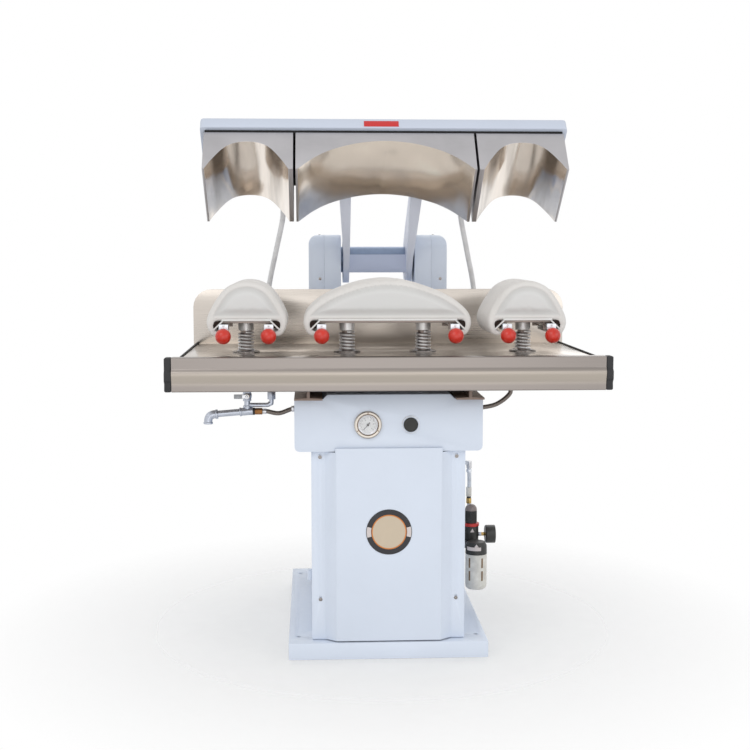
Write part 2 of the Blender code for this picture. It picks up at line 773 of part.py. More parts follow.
def make_cabinet():
    half = CABINET_WIDTH / 2
    profile = [(CABINET_FRONT, CABINET_BOTTOM), (CABINET_BACK, CABINET_BOTTOM), (CABINET_BACK, TOWER_TOP),
               (TOWER_FRONT, TOWER_TOP), (TOWER_FRONT, SHOULDER_Z), (CABINET_FRONT, SHOULDER_Z)]
    hollow = [(CABINET_FRONT + SHEET, CABINET_BOTTOM - OVERRUN),
              (CABINET_BACK - SHEET, CABINET_BOTTOM - OVERRUN),
              (CABINET_BACK - SHEET, TOWER_TOP - SHEET), (TOWER_FRONT + SHEET, TOWER_TOP - SHEET),
              (TOWER_FRONT + SHEET, SHOULDER_Z - SHEET), (CABINET_FRONT + SHEET, SHOULDER_Z - SHEET)]
    shell = rounded_edges(outline([profile], "YZ", -half, half), EDGE_ROUND)
    inside = outline([hollow], "YZ", SHEET - half, half - SHEET)
    window = box((HATCH_MARGIN_X - half, CABINET_FRONT - OVERRUN, CABINET_BOTTOM + HATCH_MARGIN_Z),
                 (half - HATCH_MARGIN_X, CABINET_FRONT + SHEET + OVERRUN, SHOULDER_Z - HATCH_MARGIN_Z))
    way = CABLE_WAY / 2
    pass_hole = box((-way, -way, SHOULDER_Z - SHEET - OVERRUN), (way, way, SHOULDER_Z + OVERRUN))
    slot = box((CRANK_X - ROD_SLOT / 2, CRANK_PIN_Y - ROD_SLOT / 2, TOWER_TOP - SHEET - OVERRUN),
               (CRANK_X + ROD_SLOT / 2, CRANK_PIN_Y + ROD_SLOT / 2, TOWER_TOP + OVERRUN))
    pipe_holes = [rod((side * (half + OVERRUN), HOSE_FOOT_Y, ELBOW_Z),
                      (side * (half - SHEET - OVERRUN), HOSE_FOOT_Y,
                      ELBOW_Z), ELBOW_PIPE_RADIUS + SEAT, 16) for side in (-1, 1)]
    piece("cabinet", cut(shell, inside, window, pass_hole, slot, *pipe_holes), "paint")


def keyhole(x, z, y):
    """The cut of a keyhole: a round hole for a screw's head and a slot above it for its neck."""
    cutter = outline([circle(x, z, KEYHOLE_RADIUS, 16)], "XZ", y - OVERRUN, y + OVERRUN)
    neck = slab((x - KEYHOLE_NECK / 2, x + KEYHOLE_NECK / 2), (z, z + KEYHOLE_RISE), "XZ", y - OVERRUN,
                y + OVERRUN)
    return weld(cutter, neck)


def make_front_cover():
    half = CABINET_WIDTH / 2
    back = CABINET_FRONT - SEAT
    front = back - COVER_RAISE - COVER_SHEET
    foot = COVER_FACE_HALF + COVER_BEVEL
    bottom = BASE_HEIGHT + COVER_GAP
    top = SHOULDER_Z + COVER_OVERLAP
    profile = [(half, back - COVER_SHEET), (foot, back - COVER_SHEET), (COVER_FACE_HALF, front),
               (-COVER_FACE_HALF, front), (-foot, back - COVER_SHEET), (-half, back - COVER_SHEET)]
    hat = folded(profile, "XY", bottom, top, COVER_SHEET)
    side_top = SHOULDER_Z - COVER_EASE
    notches = [box((min(side * COVER_NOTCH, side * (half + OVERRUN)), front - OVERRUN, side_top),
                   (max(side * COVER_NOTCH, side * (half + OVERRUN)), back + OVERRUN, top + OVERRUN))
               for side in (-1, 1)]
    holes = [keyhole(side * (half - KEYHOLE_INSET), z, back)
             for side in (-1, 1) for z in (bottom + KEYHOLE_LOW, side_top - KEYHOLE_TOP)]
    piece("front_cover", cut(hat, *notches, *holes), "paint")


def make_control_box():
    half = BOX_WIDTH / 2
    back = TOWER_FRONT - EDGE_ROUND - SEAT
    bottom = BOX_BOTTOM
    raised = [(half, BOX_TOP), (BOX_RAISE_HALF, BOX_TOP), (BOX_RAISE_HALF - BOX_RAISE, BOX_TOP + BOX_RAISE),
              (BOX_RAISE - BOX_RAISE_HALF, BOX_TOP + BOX_RAISE), (-BOX_RAISE_HALF,
                                                                  BOX_TOP), (-half, BOX_TOP)]
    low = (arc(BOX_CORNER - half, bottom + BOX_CORNER, BOX_CORNER, 180, 270, 4)
           + arc(half - BOX_CORNER, bottom + BOX_CORNER, BOX_CORNER, 270, 360, 4))
    shell = outline([low + raised], "XZ", BOX_FRONT, back)
    inner = BOX_CORNER - SHEET
    hollow_top = [(half - SHEET, BOX_TOP - SHEET), (BOX_RAISE_HALF - SHEET, BOX_TOP - SHEET),
                  (BOX_RAISE_HALF - BOX_RAISE - SHEET, BOX_TOP + BOX_RAISE - SHEET),
                  (SHEET + BOX_RAISE - BOX_RAISE_HALF, BOX_TOP + BOX_RAISE - SHEET),
                  (SHEET - BOX_RAISE_HALF, BOX_TOP - SHEET), (SHEET - half, BOX_TOP - SHEET)]
    hollow_low = (arc(BOX_CORNER - half, bottom + BOX_CORNER, inner, 180, 270, 4)
                  + arc(half - BOX_CORNER, bottom + BOX_CORNER, inner, 270, 360, 4))
    inside = outline([hollow_low + hollow_top], "XZ", BOX_FRONT + SHEET, back + OVERRUN)
    way = CABLE_WAY / 2
    behind = BOX_FRONT + SHEET + OVERRUN
    cutters = [box((-way, -way, bottom - OVERRUN), (way, way, bottom + SHEET + OVERRUN)),
               rod((GAUGE_X, BOX_FRONT - OVERRUN, CONTROL_Z), (GAUGE_X, behind, CONTROL_Z),
                   GAUGE_BODY_RADIUS + SEAT),
               rod((BUTTON_X, BOX_FRONT - OVERRUN - BEZEL_HEIGHT, CONTROL_Z), (BUTTON_X, behind, CONTROL_Z),
                   BUTTON_STEM_RADIUS + RUN, 16)]
    cutters += [rod((side * (half - SHEET - OVERRUN), LOOP_Y, LOOP_Z),
                    (side * (half + OVERRUN), LOOP_Y, LOOP_Z),
                    SIDE_HOSE_RADIUS + SEAT, 16) for side in (-1, 1)]
    bezel = turned([(BUTTON_RADIUS + RUN, BEZEL_HEIGHT), (BUTTON_RADIUS + BUTTON_RIM, BEZEL_HEIGHT),
                    (BUTTON_RADIUS + BUTTON_RIM, -SHEET / 2), (BUTTON_RADIUS + RUN, -SHEET / 2)],
                   (BUTTON_X, BOX_FRONT, CONTROL_Z), (0, -1, 0), 24)
    piece("control_box", weld(cut(shell, inside, *cutters), bezel),
          "paint")


def make_bearers():
    """Two I-beams between the control box and the table, with a tie between their webs."""
    beams = []
    front = TABLE_FRONT
    back = TABLE_BACK - BEARER_BACK_INSET
    top = BEARER_BOTTOM + BEARER_HEIGHT
    middle = BOX_WIDTH / 2 - BEARER_WIDTH / 2
    web = BEARER_WEB / 2
    flange = BEARER_WIDTH / 2
    for side in (-1, 1):
        x = side * middle
        section = [(x - flange, BEARER_BOTTOM), (x + flange, BEARER_BOTTOM),
                   (x + flange, BEARER_BOTTOM + BEARER_FLANGE),
                   (x + web, BEARER_BOTTOM + BEARER_ROOT), (x + web, top - BEARER_ROOT),
                   (x + flange, top - BEARER_FLANGE), (x + flange, top), (x - flange, top),
                   (x - flange, top - BEARER_FLANGE), (x - web, top - BEARER_ROOT),
                   (x - web, BEARER_BOTTOM + BEARER_ROOT), (x - flange, BEARER_BOTTOM + BEARER_FLANGE)]
        beams.append(outline([section], "XZ", front, back))
    tie_top = top - TIE_DROP
    tie = box((-middle, TIE_Y - TIE_THICK / 2, tie_top - TIE_HEIGHT),
              (middle, TIE_Y + TIE_THICK / 2, tie_top))
    piece("table_subframe", weld(tie, *beams), "stainless")


def make_table():
    half = TABLE_WIDTH / 2
    low = TABLE_Z - TABLE_LIP
    profile = [(-half, low), (-half, TABLE_Z), (half, TABLE_Z), (half, low)]
    top = folded(profile, "XZ", -TABLE_BACK, -TABLE_FRONT, COVER_SHEET)
    holes = [rod((x, BUCK_Y, TABLE_UNDER - OVERRUN), (x, BUCK_Y, TABLE_Z + OVERRUN), BUSH_RADIUS + RUN, 16)
             for x in (-CUFF_POST_X, -COLLAR_POST_X, COLLAR_POST_X, CUFF_POST_X)]
    piece("table_top", cut(top, *holes), "stainless")


def make_back_panel():
    face = rectangle(-PANEL_HALF, PANEL_HALF, TABLE_Z - PANEL_DROP, TABLE_Z + PANEL_RISE, 0.0, PANEL_CORNER,
                     6)
    front = TABLE_BACK + SEAT
    plate = outline([face], "XZ", front, front + SHEET)
    foot = box((-PANEL_FOOT_HALF, front + SHEET / 2, TABLE_Z - PANEL_DROP),
               (PANEL_FOOT_HALF, TOWER_FRONT - SEAT, TABLE_Z - PANEL_DROP + PANEL_FOOT))
    piece("back_panel", weld(plate, foot), "stainless")


def bar_section(inset):
    """The front bar's section as (y, z) points, or its hollow when it is inset by the wall."""
    front = BAR_FRONT + inset
    back = BAR_FRONT + BAR_DEPTH - inset
    top = BAR_TOP - inset
    bottom = BAR_TOP - BAR_HEIGHT + inset
    nose_top = BAR_TOP - BAR_STRIP
    nose_bottom = nose_top - BAR_BAND
    return [(back, bottom), (back, top), (front + BAR_NOSE, top), (front + BAR_NOSE, nose_top),
            (front, nose_top - BAR_NOSE), (front, nose_bottom + BAR_NOSE), (front + BAR_NOSE, nose_bottom),
            (front + BAR_NOSE, bottom)]


def make_front_bar():
    bar = outline([bar_section(0), bar_section(BAR_WALL)], "YZ", -BAR_HALF, BAR_HALF)
    piece("front_bar", bar, "stainless")
    for side, name in ((-1, "bar_cap_left"), (1, "bar_cap_right")):
        start = BAR_HALF + SEAT
        ends = sorted((side * start, side * (start + BAR_CAP)))
        cap = rounded_edges(outline([bar_section(0)], "YZ", *ends), BAR_CAP_ROUND, 2, math.radians(50))
        piece(name, cap, "rubber")


# Bucks with their bushes, springs, pads and clamp levers

def make_bush(name, x):
    bore = POST_RADIUS + RUN
    drop = TABLE_Z + SEAT - BUSH_DROP
    profile = [(bore, BUSH_TOP), (BUSH_FLANGE_RADIUS, BUSH_TOP), (BUSH_FLANGE_RADIUS, TABLE_Z + SEAT),
               (BUSH_RADIUS, TABLE_Z + SEAT), (BUSH_RADIUS, drop), (bore, drop)]
    piece(name, turned(profile, (x, BUCK_Y, 0), sides=16), "steel")


def coil_points():
    """The spring's wire: a straight foot, its turns at a steady pitch, and a straight head."""
    low = SPRING_BOTTOM + 2 * SPRING_WIRE
    rise = SPRING_LENGTH - 4 * SPRING_WIRE
    count = SPRING_TURNS * SPRING_POINTS
    turns = [Vector((SPRING_RADIUS * math.cos(2 * math.pi * i / SPRING_POINTS),
                     SPRING_RADIUS * math.sin(2 * math.pi * i / SPRING_POINTS), low + rise * i / count))
             for i in range(count + 1)]
    foot = Vector((SPRING_RADIUS, 0, SPRING_BOTTOM))
    head = Vector((SPRING_RADIUS, 0, SPRING_BOTTOM + SPRING_LENGTH))
    return [foot] + turns + [head]


def least_gap(points, diameter, apart):
    """The least gap of a tube to itself, between points more than a few steps apart."""
    pairs = ((a, b) for i, a in enumerate(points) for b in points[i + apart:])
    return min((a - b).length for a, b in pairs) - diameter


def make_spring(name, x):
    points = coil_points()
    print("spring", name, "least gap to itself in mm:", round(1000 * least_gap(points, 2 * SPRING_WIRE, 5),
                                                              2))
    piece(name, tube([point + Vector((x, BUCK_Y, 0)) for point in points], SPRING_WIRE, 1), "steel")


def make_buck(name, centre, half, posts, levers):
    """A buck's plate with its posts, thrust collars and stop rings, and the lugs of its lever shafts."""
    plate_half = half - BUCK_PLATE_INSET
    front = BUCK_Y - BUCK_PLATE_DEPTH / 2
    plate = rounded_edges(box((centre - plate_half, front, PLATE_BOTTOM),
                              (centre + plate_half, front + BUCK_PLATE_DEPTH, PLATE_TOP)), FINE_ROUND, 1)
    bush_end = TABLE_Z + SEAT - BUSH_DROP
    ring_top = bush_end - SEAT
    profile = [(0, PLATE_BOTTOM + BUCK_PLATE / 2), (COLLAR_RADIUS, PLATE_BOTTOM + BUCK_PLATE / 2),
               (COLLAR_RADIUS, COLLAR_BOTTOM), (POST_RADIUS, COLLAR_BOTTOM), (POST_RADIUS, ring_top),
               (STOP_RADIUS, ring_top), (STOP_RADIUS, ring_top - STOP_RING), (POST_RADIUS,
                                                                              ring_top - STOP_RING),
               (POST_RADIUS, bush_end - POST_TAIL), (0, bush_end - POST_TAIL)]
    columns = [turned(profile, (x, BUCK_Y, 0), sides=16) for x in posts]
    lugs = []
    bores = []
    for x in levers:
        for y in (BUCK_Y - LUG_SPREAD, BUCK_Y + LUG_SPREAD):
            lugs.append(box((x - LUG_WIDTH / 2, y - LUG_THICK / 2, PLATE_BOTTOM - LUG_DROP),
                            (x + LUG_WIDTH / 2, y + LUG_THICK / 2, PLATE_BOTTOM + BUCK_PLATE / 2)))
            bores.append(rod((x, y - LUG_THICK, LEVER_Z), (x, y + LUG_THICK, LEVER_Z),
                             LEVER_SHAFT_RADIUS + RUN, 10))
    piece(name, cut(weld(plate, *columns, *lugs), *bores), "steel")


def pad_section(centre, half, rise, shares, y, draw):
    """A pad's section at a depth, drawn in by a length near its front and back faces."""
    ease = draw * LOBE_EASE_share
    waist = half - ease
    points = []
    for x, z in arch(shares, 1, 1, ARCH_STEPS):
        inward = ease + (draw - ease) * min(1, z / PAD_EASE_share)
        points.append((x * (half - inward), PAD_WAIST + z * (rise - draw)))
    lobe = [(waist - u * (LOBE_REACH - ease), PAD_BOTTOM - v * (LOBE_DROP - ease / 2)) for u,
            v in LOBE_shares]
    left = [(-x, z) for x, z in lobe]
    right = list(reversed(lobe))
    return [(centre + x, y, z) for x, z in points + left + right]


def make_pad(name, centre, half, rise, shares):
    sections = []
    turns = PAD_RIM_STEPS
    for i in range(turns + 1):
        angle = math.pi / 2 * i / turns
        sections.append((PAD_FRONT + PAD_RIM * (1 - math.cos(angle)), PAD_RIM * (1 - math.sin(angle))))
    middle = 2 * PAD_FRONT + PAD_DEPTH
    sections += [(middle - y, draw) for y, draw in reversed(sections)]
    rings = [pad_section(centre, half, rise, shares, y, draw) for y, draw in sections]
    piece(name, loft(rings), "cloth")


def make_lever(name, x, outward_side):
    """A clamp lever: a shaft under the buck with a cam blade, a block, a stud and a ball."""
    block_front = PAD_FRONT - LEVER_FRONT
    block_back = block_front + LEVER_BLOCK_DEPTH
    shaft_end = BUCK_Y + LUG_SPREAD + LUG_THICK
    half = LEVER_BLOCK_WIDTH / 2
    block = rounded_edges(box((x - half, block_front, LEVER_Z - LEVER_BLOCK_HEIGHT / 2),
                              (x + half, block_back, LEVER_Z + LEVER_BLOCK_HEIGHT / 2)), EDGE_ROUND / 2, 1)
    shaft = rod((x, block_back - EDGE_ROUND, LEVER_Z), (x, shaft_end, LEVER_Z), LEVER_SHAFT_RADIUS, 10)
    ends = sorted((x, x + outward_side * LEVER_CAM))
    cam = box((ends[0], BUCK_Y - LEVER_CAM_LENGTH / 2, LEVER_Z - LEVER_CAM_THICK / 2),
              (ends[1], BUCK_Y + LEVER_CAM_LENGTH / 2, LEVER_Z + LEVER_CAM_THICK / 2))
    centre = (x, block_front - LEVER_BALL_AHEAD, LEVER_Z - LEVER_BALL_DROP)
    stud = rod((x, block_back - EDGE_ROUND, LEVER_Z), centre, LEVER_STUD_RADIUS, 8)
    axis = axis_at(name + "_axis", (x, 0, LEVER_Z))
    made = piece(name, weld(block, shaft, cam, stud, ball(centre, LEVER_BALL_RADIUS)), "red_plastic")
    hang(made, axis)


# Head, its pivot and what drives it

def turned_closed(point):
    """A (y, z) point of the open head as it lies when the head is closed."""
    y, z = point[0] - PIVOT.y, point[1] - PIVOT.z
    return (PIVOT.y + y * math.cos(OPEN_TILT) - z * math.sin(OPEN_TILT),
            PIVOT.z + y * math.sin(OPEN_TILT) + z * math.cos(OPEN_TILT))


def make_pivot_shaft(head):
    profile = [(0, JOURNAL_HALF), (JOURNAL_RADIUS, JOURNAL_HALF), (JOURNAL_RADIUS, TUBE_HALF),
               (TUBE_RADIUS, TUBE_HALF),
               (TUBE_RADIUS, -TUBE_HALF), (JOURNAL_RADIUS, -TUBE_HALF), (JOURNAL_RADIUS, -JOURNAL_HALF),
               (0, -JOURNAL_HALF)]
    shaft = turned(profile, PIVOT, (1, 0, 0), 24)
    lift = OPEN_TILT / 2
    along = Vector((math.cos(lift), math.sin(lift)))
    across = Vector((-along.y, along.x))
    hub = Vector((PIVOT.y, PIVOT.z))
    tip = hub + along * CRANK_REACH
    turn = math.degrees(lift)
    side = math.degrees(math.asin((CRANK_HUB - CRANK_END) / CRANK_REACH))
    arm = (arc(tip.x, tip.y, CRANK_END, turn - 90 + side, turn + 90 - side, 8)
           + arc(hub.x, hub.y, CRANK_HUB, turn + 90 - side, turn + 270 + side, 16))
    pin = CRANK_PIN_RADIUS + CRANK_SLOT_PLAY
    near = hub + along * (CRANK_REACH * math.cos(OPEN_TILT / 2) - CRANK_SLOT_IN)
    far = hub + along * (CRANK_REACH + CRANK_SLOT_OUT)
    slot = (arc(far.x, far.y, pin, turn - 90, turn + 90, 8)
            + arc(near.x, near.y, pin, turn + 90, turn + 270, 8))
    low = CRANK_X - CRANK_WIDTH / 2
    crank = outline([arm, slot], "YZ", low, low + CRANK_WIDTH)
    hang(piece("pivot_shaft", weld(shaft, crank), "dark_steel"), head)


def make_yoke(head):
    """Two arms from the shaft's tube forward onto the heat board, and a cross plate between them."""
    front = BEAM_BACK + SEAT
    low = BOARD_TOP + SEAT
    high = HOOD_TOP - COVER_SHEET - YOKE_CLEAR
    reach = PIVOT.y - front
    top = [(front + reach * u, high + (PIVOT.z + YOKE_HUB - high) * v) for u, v in YOKE_TOP_shares]
    bottom = [(front + reach * u, low + (PIVOT.z - YOKE_HUB - low) * v) for u, v in YOKE_BOTTOM_shares]
    hub = arc(PIVOT.y, PIVOT.z, YOKE_HUB, 100, -100, 14)
    profile = [(front, low)] + top + hub + bottom
    side_view = outline([profile, circle(PIVOT.y, PIVOT.z, TUBE_RADIUS + SEAT, 24)], "YZ", YOKE_INNER,
                        YOKE_OUTER + YOKE_FLARE + OVERRUN)
    plan = [(YOKE_INNER - OVERRUN, front - OVERRUN), (YOKE_OUTER + YOKE_FLARE, front - OVERRUN),
            (YOKE_OUTER + YOKE_FLARE,
             front + reach * YOKE_FLARE_share), (YOKE_OUTER, HOUSING_FRONT - OVERRUN),
            (YOKE_OUTER, PIVOT.y + YOKE_HUB + OVERRUN), (YOKE_INNER - OVERRUN, PIVOT.y + YOKE_HUB + OVERRUN)]
    across = outline([plan], "XY", PIVOT.z - 2 * YOKE_HUB, PIVOT.z + 2 * YOKE_HUB)
    arm = combine(side_view, [across], "INTERSECT")
    y = PIVOT.y - CROSS_AHEAD
    z = PIVOT.z - CROSS_DROP
    corners = [turned_closed((y + dy * CROSS_THICK / 2, z + dz * CROSS_HEIGHT / 2))
               for dy, dz in ((-1, -1), (1, -1), (1, 1), (-1, 1))]
    plate = outline([corners], "YZ", -YOKE_INNER - SEAT, YOKE_INNER + SEAT)
    hang(piece("head_yoke", weld(plate, arm, mirrored(arm)), "paint"), head)


def make_beam(head):
    low = BOARD_TOP + SEAT
    front = BEAM_BACK - BEAM_DEPTH
    outer = rectangle(front, BEAM_BACK, low, low + BEAM_HEIGHT)
    inner = rectangle(front + BEAM_WALL, BEAM_BACK - BEAM_WALL, low + BEAM_WALL,
                      low + BEAM_HEIGHT - BEAM_WALL)
    hang(piece("head_beam", outline([outer, inner], "YZ", -BEAM_HALF, BEAM_HALF), "paint"), head)


def make_board(head):
    half = HEAD_HALF - BOARD_MARGIN
    low = CHEST_TOP + SEAT
    board = box((-half, CHEST_FRONT + BOARD_MARGIN, low), (half, CHEST_BACK - BOARD_MARGIN, BOARD_TOP))
    hang(piece("insulation_board", board, "black_plastic"), head)


def make_hood(head):
    """The sheet hood over the head: rounded, with a lip turned in below and notches for the arms behind."""
    half = HEAD_HALF + HOOD_MARGIN_X
    front = CHEST_FRONT - HOOD_MARGIN_Y
    back = CHEST_BACK + HOOD_MARGIN_Y
    low = BOARD_TOP + SEAT
    skin = COVER_SHEET
    shell = rounded_edges(box((-half, front, low - HOOD_ROUND), (half, back, HOOD_TOP)), HOOD_ROUND, 3)
    trim = box((-half - OVERRUN, front - OVERRUN, low - 2 * HOOD_ROUND),
               (half + OVERRUN, back + OVERRUN, low))
    inside = rounded_edges(box((skin - half, front + skin, low + skin),
                               (half - skin, back - skin, HOOD_TOP - skin)),
                           HOOD_ROUND - skin, 3)
    lip = HOOD_LIP
    mouth = box((lip - half, front + lip, low - OVERRUN), (half - lip, back - lip, low + 2 * skin))
    outer = YOKE_OUTER + YOKE_FLARE + YOKE_CLEAR
    inner = YOKE_INNER - YOKE_CLEAR
    top = HOOD_TOP - skin
    notches = [box((min(side * inner, side * outer), back - lip - OVERRUN, low - OVERRUN),
                   (max(side * inner, side * outer), back + OVERRUN, top)) for side in (-1, 1)]
    hang(piece("head_cover", cut(shell, trim, inside, mouth, *notches), "paint"), head)


def make_chest(head, name, centre, span, left, right, apex, shares, port_x):
    """A steam chest: a block with its pressing arch below and, on some, the port of a hose behind."""
    curve = [(centre + x, CHEST_BOTTOM + z) for x, z in arch(shares, span, apex - CHEST_BOTTOM, ARCH_STEPS)]
    face = [(left, CHEST_BOTTOM), *reversed(curve), (right, CHEST_BOTTOM), (right, CHEST_TOP),
            (left, CHEST_TOP)]
    chest = outline([face], "XZ", CHEST_FRONT, CHEST_BACK)
    if port_x is not None:
        z = CHEST_TOP - PORT_DROP
        port = rod((port_x, CHEST_BACK - EDGE_ROUND, z), (port_x, CHEST_BACK + PORT_LENGTH, z), PORT_RADIUS,
                   6)
        chest = weld(chest, port)
    hang(piece(name, chest, "chest_metal"), head)


def housing_profile(inset, foot):
    """A pivot housing's side view as (y, z) points, with its rounded crown."""
    front = HOUSING_FRONT + inset
    back = CABINET_BACK - inset
    top = PIVOT.z + HOUSING_RISE - inset
    round_off = HOUSING_CROWN - inset
    return ([(front, foot), (back, foot)] + arc(back - round_off, top - round_off, round_off, 0, 90, 5)
            + arc(front + round_off, top - round_off, round_off, 90, 180, 5))


def make_housing(side, name):
    foot = TOWER_TOP + SEAT
    body = outline([housing_profile(0, foot)], "YZ", HOUSING_IN, HOUSING_SEAM)
    inside = outline([housing_profile(SHEET, foot - OVERRUN)], "YZ", HOUSING_IN + SHEET,
                     HOUSING_SEAM + OVERRUN)
    boss = rod((HOUSING_IN + SHEET / 2, PIVOT.y, PIVOT.z), (HOUSING_IN + BEARING_WIDTH, PIVOT.y, PIVOT.z),
               BEARING_RADIUS, 24)
    bore = rod((HOUSING_IN - OVERRUN, PIVOT.y, PIVOT.z), (HOUSING_SEAM, PIVOT.y, PIVOT.z),
               JOURNAL_RADIUS + RUN, 28)
    made = cut(weld(cut(body, inside), boss), bore)
    piece(name, made if side > 0 else mirrored(made), "paint")


def cover_form(inset, overrun):
    """The form of a housing's side cover, inset all over and run out at its seam and foot."""
    foot = TOWER_TOP + SEAT - overrun
    seam = HOUSING_SEAM + SEAT - overrun
    outer = HOUSING_OUT - inset
    top = PIVOT.z + HOUSING_RISE - inset
    corner = HOUSING_SIDE_ROUND - inset
    body = outline([housing_profile(inset, foot)], "YZ", seam, outer + OVERRUN)
    face = [(seam - OVERRUN, foot - OVERRUN), (outer, foot - OVERRUN)]
    face += arc(outer - corner, top - corner, corner, 0, 90, 5) + [(seam - OVERRUN, top)]
    front_view = outline([face], "XZ", HOUSING_FRONT - OVERRUN, CABINET_BACK + OVERRUN)
    return combine(body, [front_view], "INTERSECT")


def make_housing_cover(side, name):
    made = cut(cover_form(0, 0), cover_form(SHEET, OVERRUN))
    piece(name, made if side > 0 else mirrored(made), "paint")


def make_drive():
    """The air cylinder that stands in the tower, and its rod with a clevis and pin round the crank's end."""
    low = SHOULDER_Z + CYLINDER_MARGIN
    high = low + CYLINDER_LENGTH
    centre = (CRANK_X, CRANK_PIN_Y, 0)
    inner = CYLINDER_RADIUS - CYLINDER_WALL
    profile = [(ROD_RADIUS + RUN, high), (CYLINDER_RADIUS, high), (CYLINDER_RADIUS, low), (0, low),
               (0, low + CYLINDER_HEAD), (inner, low + CYLINDER_HEAD), (inner, high - CYLINDER_HEAD),
               (ROD_RADIUS + RUN, high - CYLINDER_HEAD)]
    barrel = turned(profile, centre, sides=20)
    foot = box((CRANK_X - CYLINDER_FOOT_HALF, CRANK_PIN_Y, low - CYLINDER_HEAD / 2),
               (CRANK_X + CYLINDER_FOOT_HALF, CABINET_BACK - SHEET - SEAT, low + CYLINDER_HEAD / 2))
    piece("air_cylinder", weld(barrel, foot), "steel")
    rest = CRANK_PIN_Z
    floor = low + CYLINDER_HEAD + ROD_IN_CYLINDER
    piston = inner - RUN
    cheeks = CRANK_WIDTH / 2 + RUN + CLEVIS_CHEEK
    fork_bottom = rest - CLEVIS_LENGTH
    stem = turned([(0, fork_bottom + EDGE_ROUND), (ROD_RADIUS, fork_bottom + EDGE_ROUND),
                   (ROD_RADIUS, floor + PISTON_THICK), (piston, floor
                                                        + PISTON_THICK), (piston, floor), (0, floor)],
                  centre, sides=16)
    fork = outline([rectangle(CRANK_PIN_Y - CLEVIS_RADIUS, CRANK_PIN_Y + CLEVIS_RADIUS, fork_bottom,
                              rest + CLEVIS_RADIUS, 0.0, CLEVIS_RADIUS * CLEVIS_ROUND_share)], "YZ",
                   CRANK_X - cheeks, CRANK_X + cheeks)
    gap = box((CRANK_X - CRANK_WIDTH / 2 - RUN, CRANK_PIN_Y - CLEVIS_RADIUS - OVERRUN,
               rest - CRANK_END - CLEVIS_CLEAR),
              (CRANK_X + CRANK_WIDTH / 2 + RUN, CRANK_PIN_Y + CLEVIS_RADIUS + OVERRUN,
               rest + CLEVIS_RADIUS + OVERRUN))
    pin_half = cheeks + FINE_ROUND
    pin = rod((CRANK_X - pin_half, CRANK_PIN_Y, rest), (CRANK_X + pin_half, CRANK_PIN_Y, rest),
              CRANK_PIN_RADIUS, 16)
    piece("piston_rod", weld(cut(fork, gap), stem, pin), "steel")


# Gauge, button, pipes and hoses

def make_gauge():
    face = GAUGE_RIM - GAUGE_DISH
    inner = GAUGE_RADIUS - GAUGE_LIP
    profile = [(0, face), (inner, face), (inner, GAUGE_RIM), (GAUGE_RADIUS - GAUGE_RIM_ROUND, GAUGE_RIM),
               (GAUGE_RADIUS, GAUGE_RIM / 2), (GAUGE_RADIUS, SEAT), (GAUGE_BODY_RADIUS, SEAT),
               (GAUGE_BODY_RADIUS, -GAUGE_BODY_DEPTH), (0, -GAUGE_BODY_DEPTH)]
    piece("pressure_gauge", turned(profile, (GAUGE_X, BOX_FRONT, CONTROL_Z), (0, -1, 0), 28), "pale")
    y = BOX_FRONT - face - NEEDLE_LIFT
    hub = rod((GAUGE_X, y - NEEDLE_THICK, CONTROL_Z), (GAUGE_X, y, CONTROL_Z), NEEDLE_HUB, 16)
    tip = Vector((GAUGE_X, y, CONTROL_Z)) + NEEDLE_LENGTH * Vector((math.sin(NEEDLE_ANGLE), 0,
                                                                    math.cos(NEEDLE_ANGLE)))
    side = Vector((math.cos(NEEDLE_ANGLE), 0, -math.sin(NEEDLE_ANGLE))) * NEEDLE_WIDTH / 2
    start = Vector((GAUGE_X, y, CONTROL_Z))
    blade = outline([[(p.x, p.z) for p in (start - side, start + side, tip + side / 3, tip - side / 3)]],
                    "XZ",
                    y - NEEDLE_THICK, y)
    axis = axis_at("gauge_needle_axis", (GAUGE_X, y, CONTROL_Z))
    hang(piece("gauge_needle", weld(hub, blade), "black_plastic"), axis)


def make_button():
    back = BUTTON_TRAVEL + SEAT
    inside = -SHEET - SEAT
    soft = BUTTON_ROUND
    profile = [(0, BUTTON_PROUD), (BUTTON_RADIUS - soft, BUTTON_PROUD), (BUTTON_RADIUS, BUTTON_PROUD - soft),
               (BUTTON_RADIUS, back), (BUTTON_STEM_RADIUS, back), (BUTTON_STEM_RADIUS, inside),
               (BUTTON_NUT_RADIUS, inside), (BUTTON_NUT_RADIUS, inside - BUTTON_NUT), (BUTTON_STEM_RADIUS,
               inside - BUTTON_NUT), (BUTTON_STEM_RADIUS, -BUTTON_STEM), (0, -BUTTON_STEM)]
    piece("start_button", turned(profile, (BUTTON_X, BOX_FRONT, CONTROL_Z), (0, -1, 0), 20), "black_plastic")


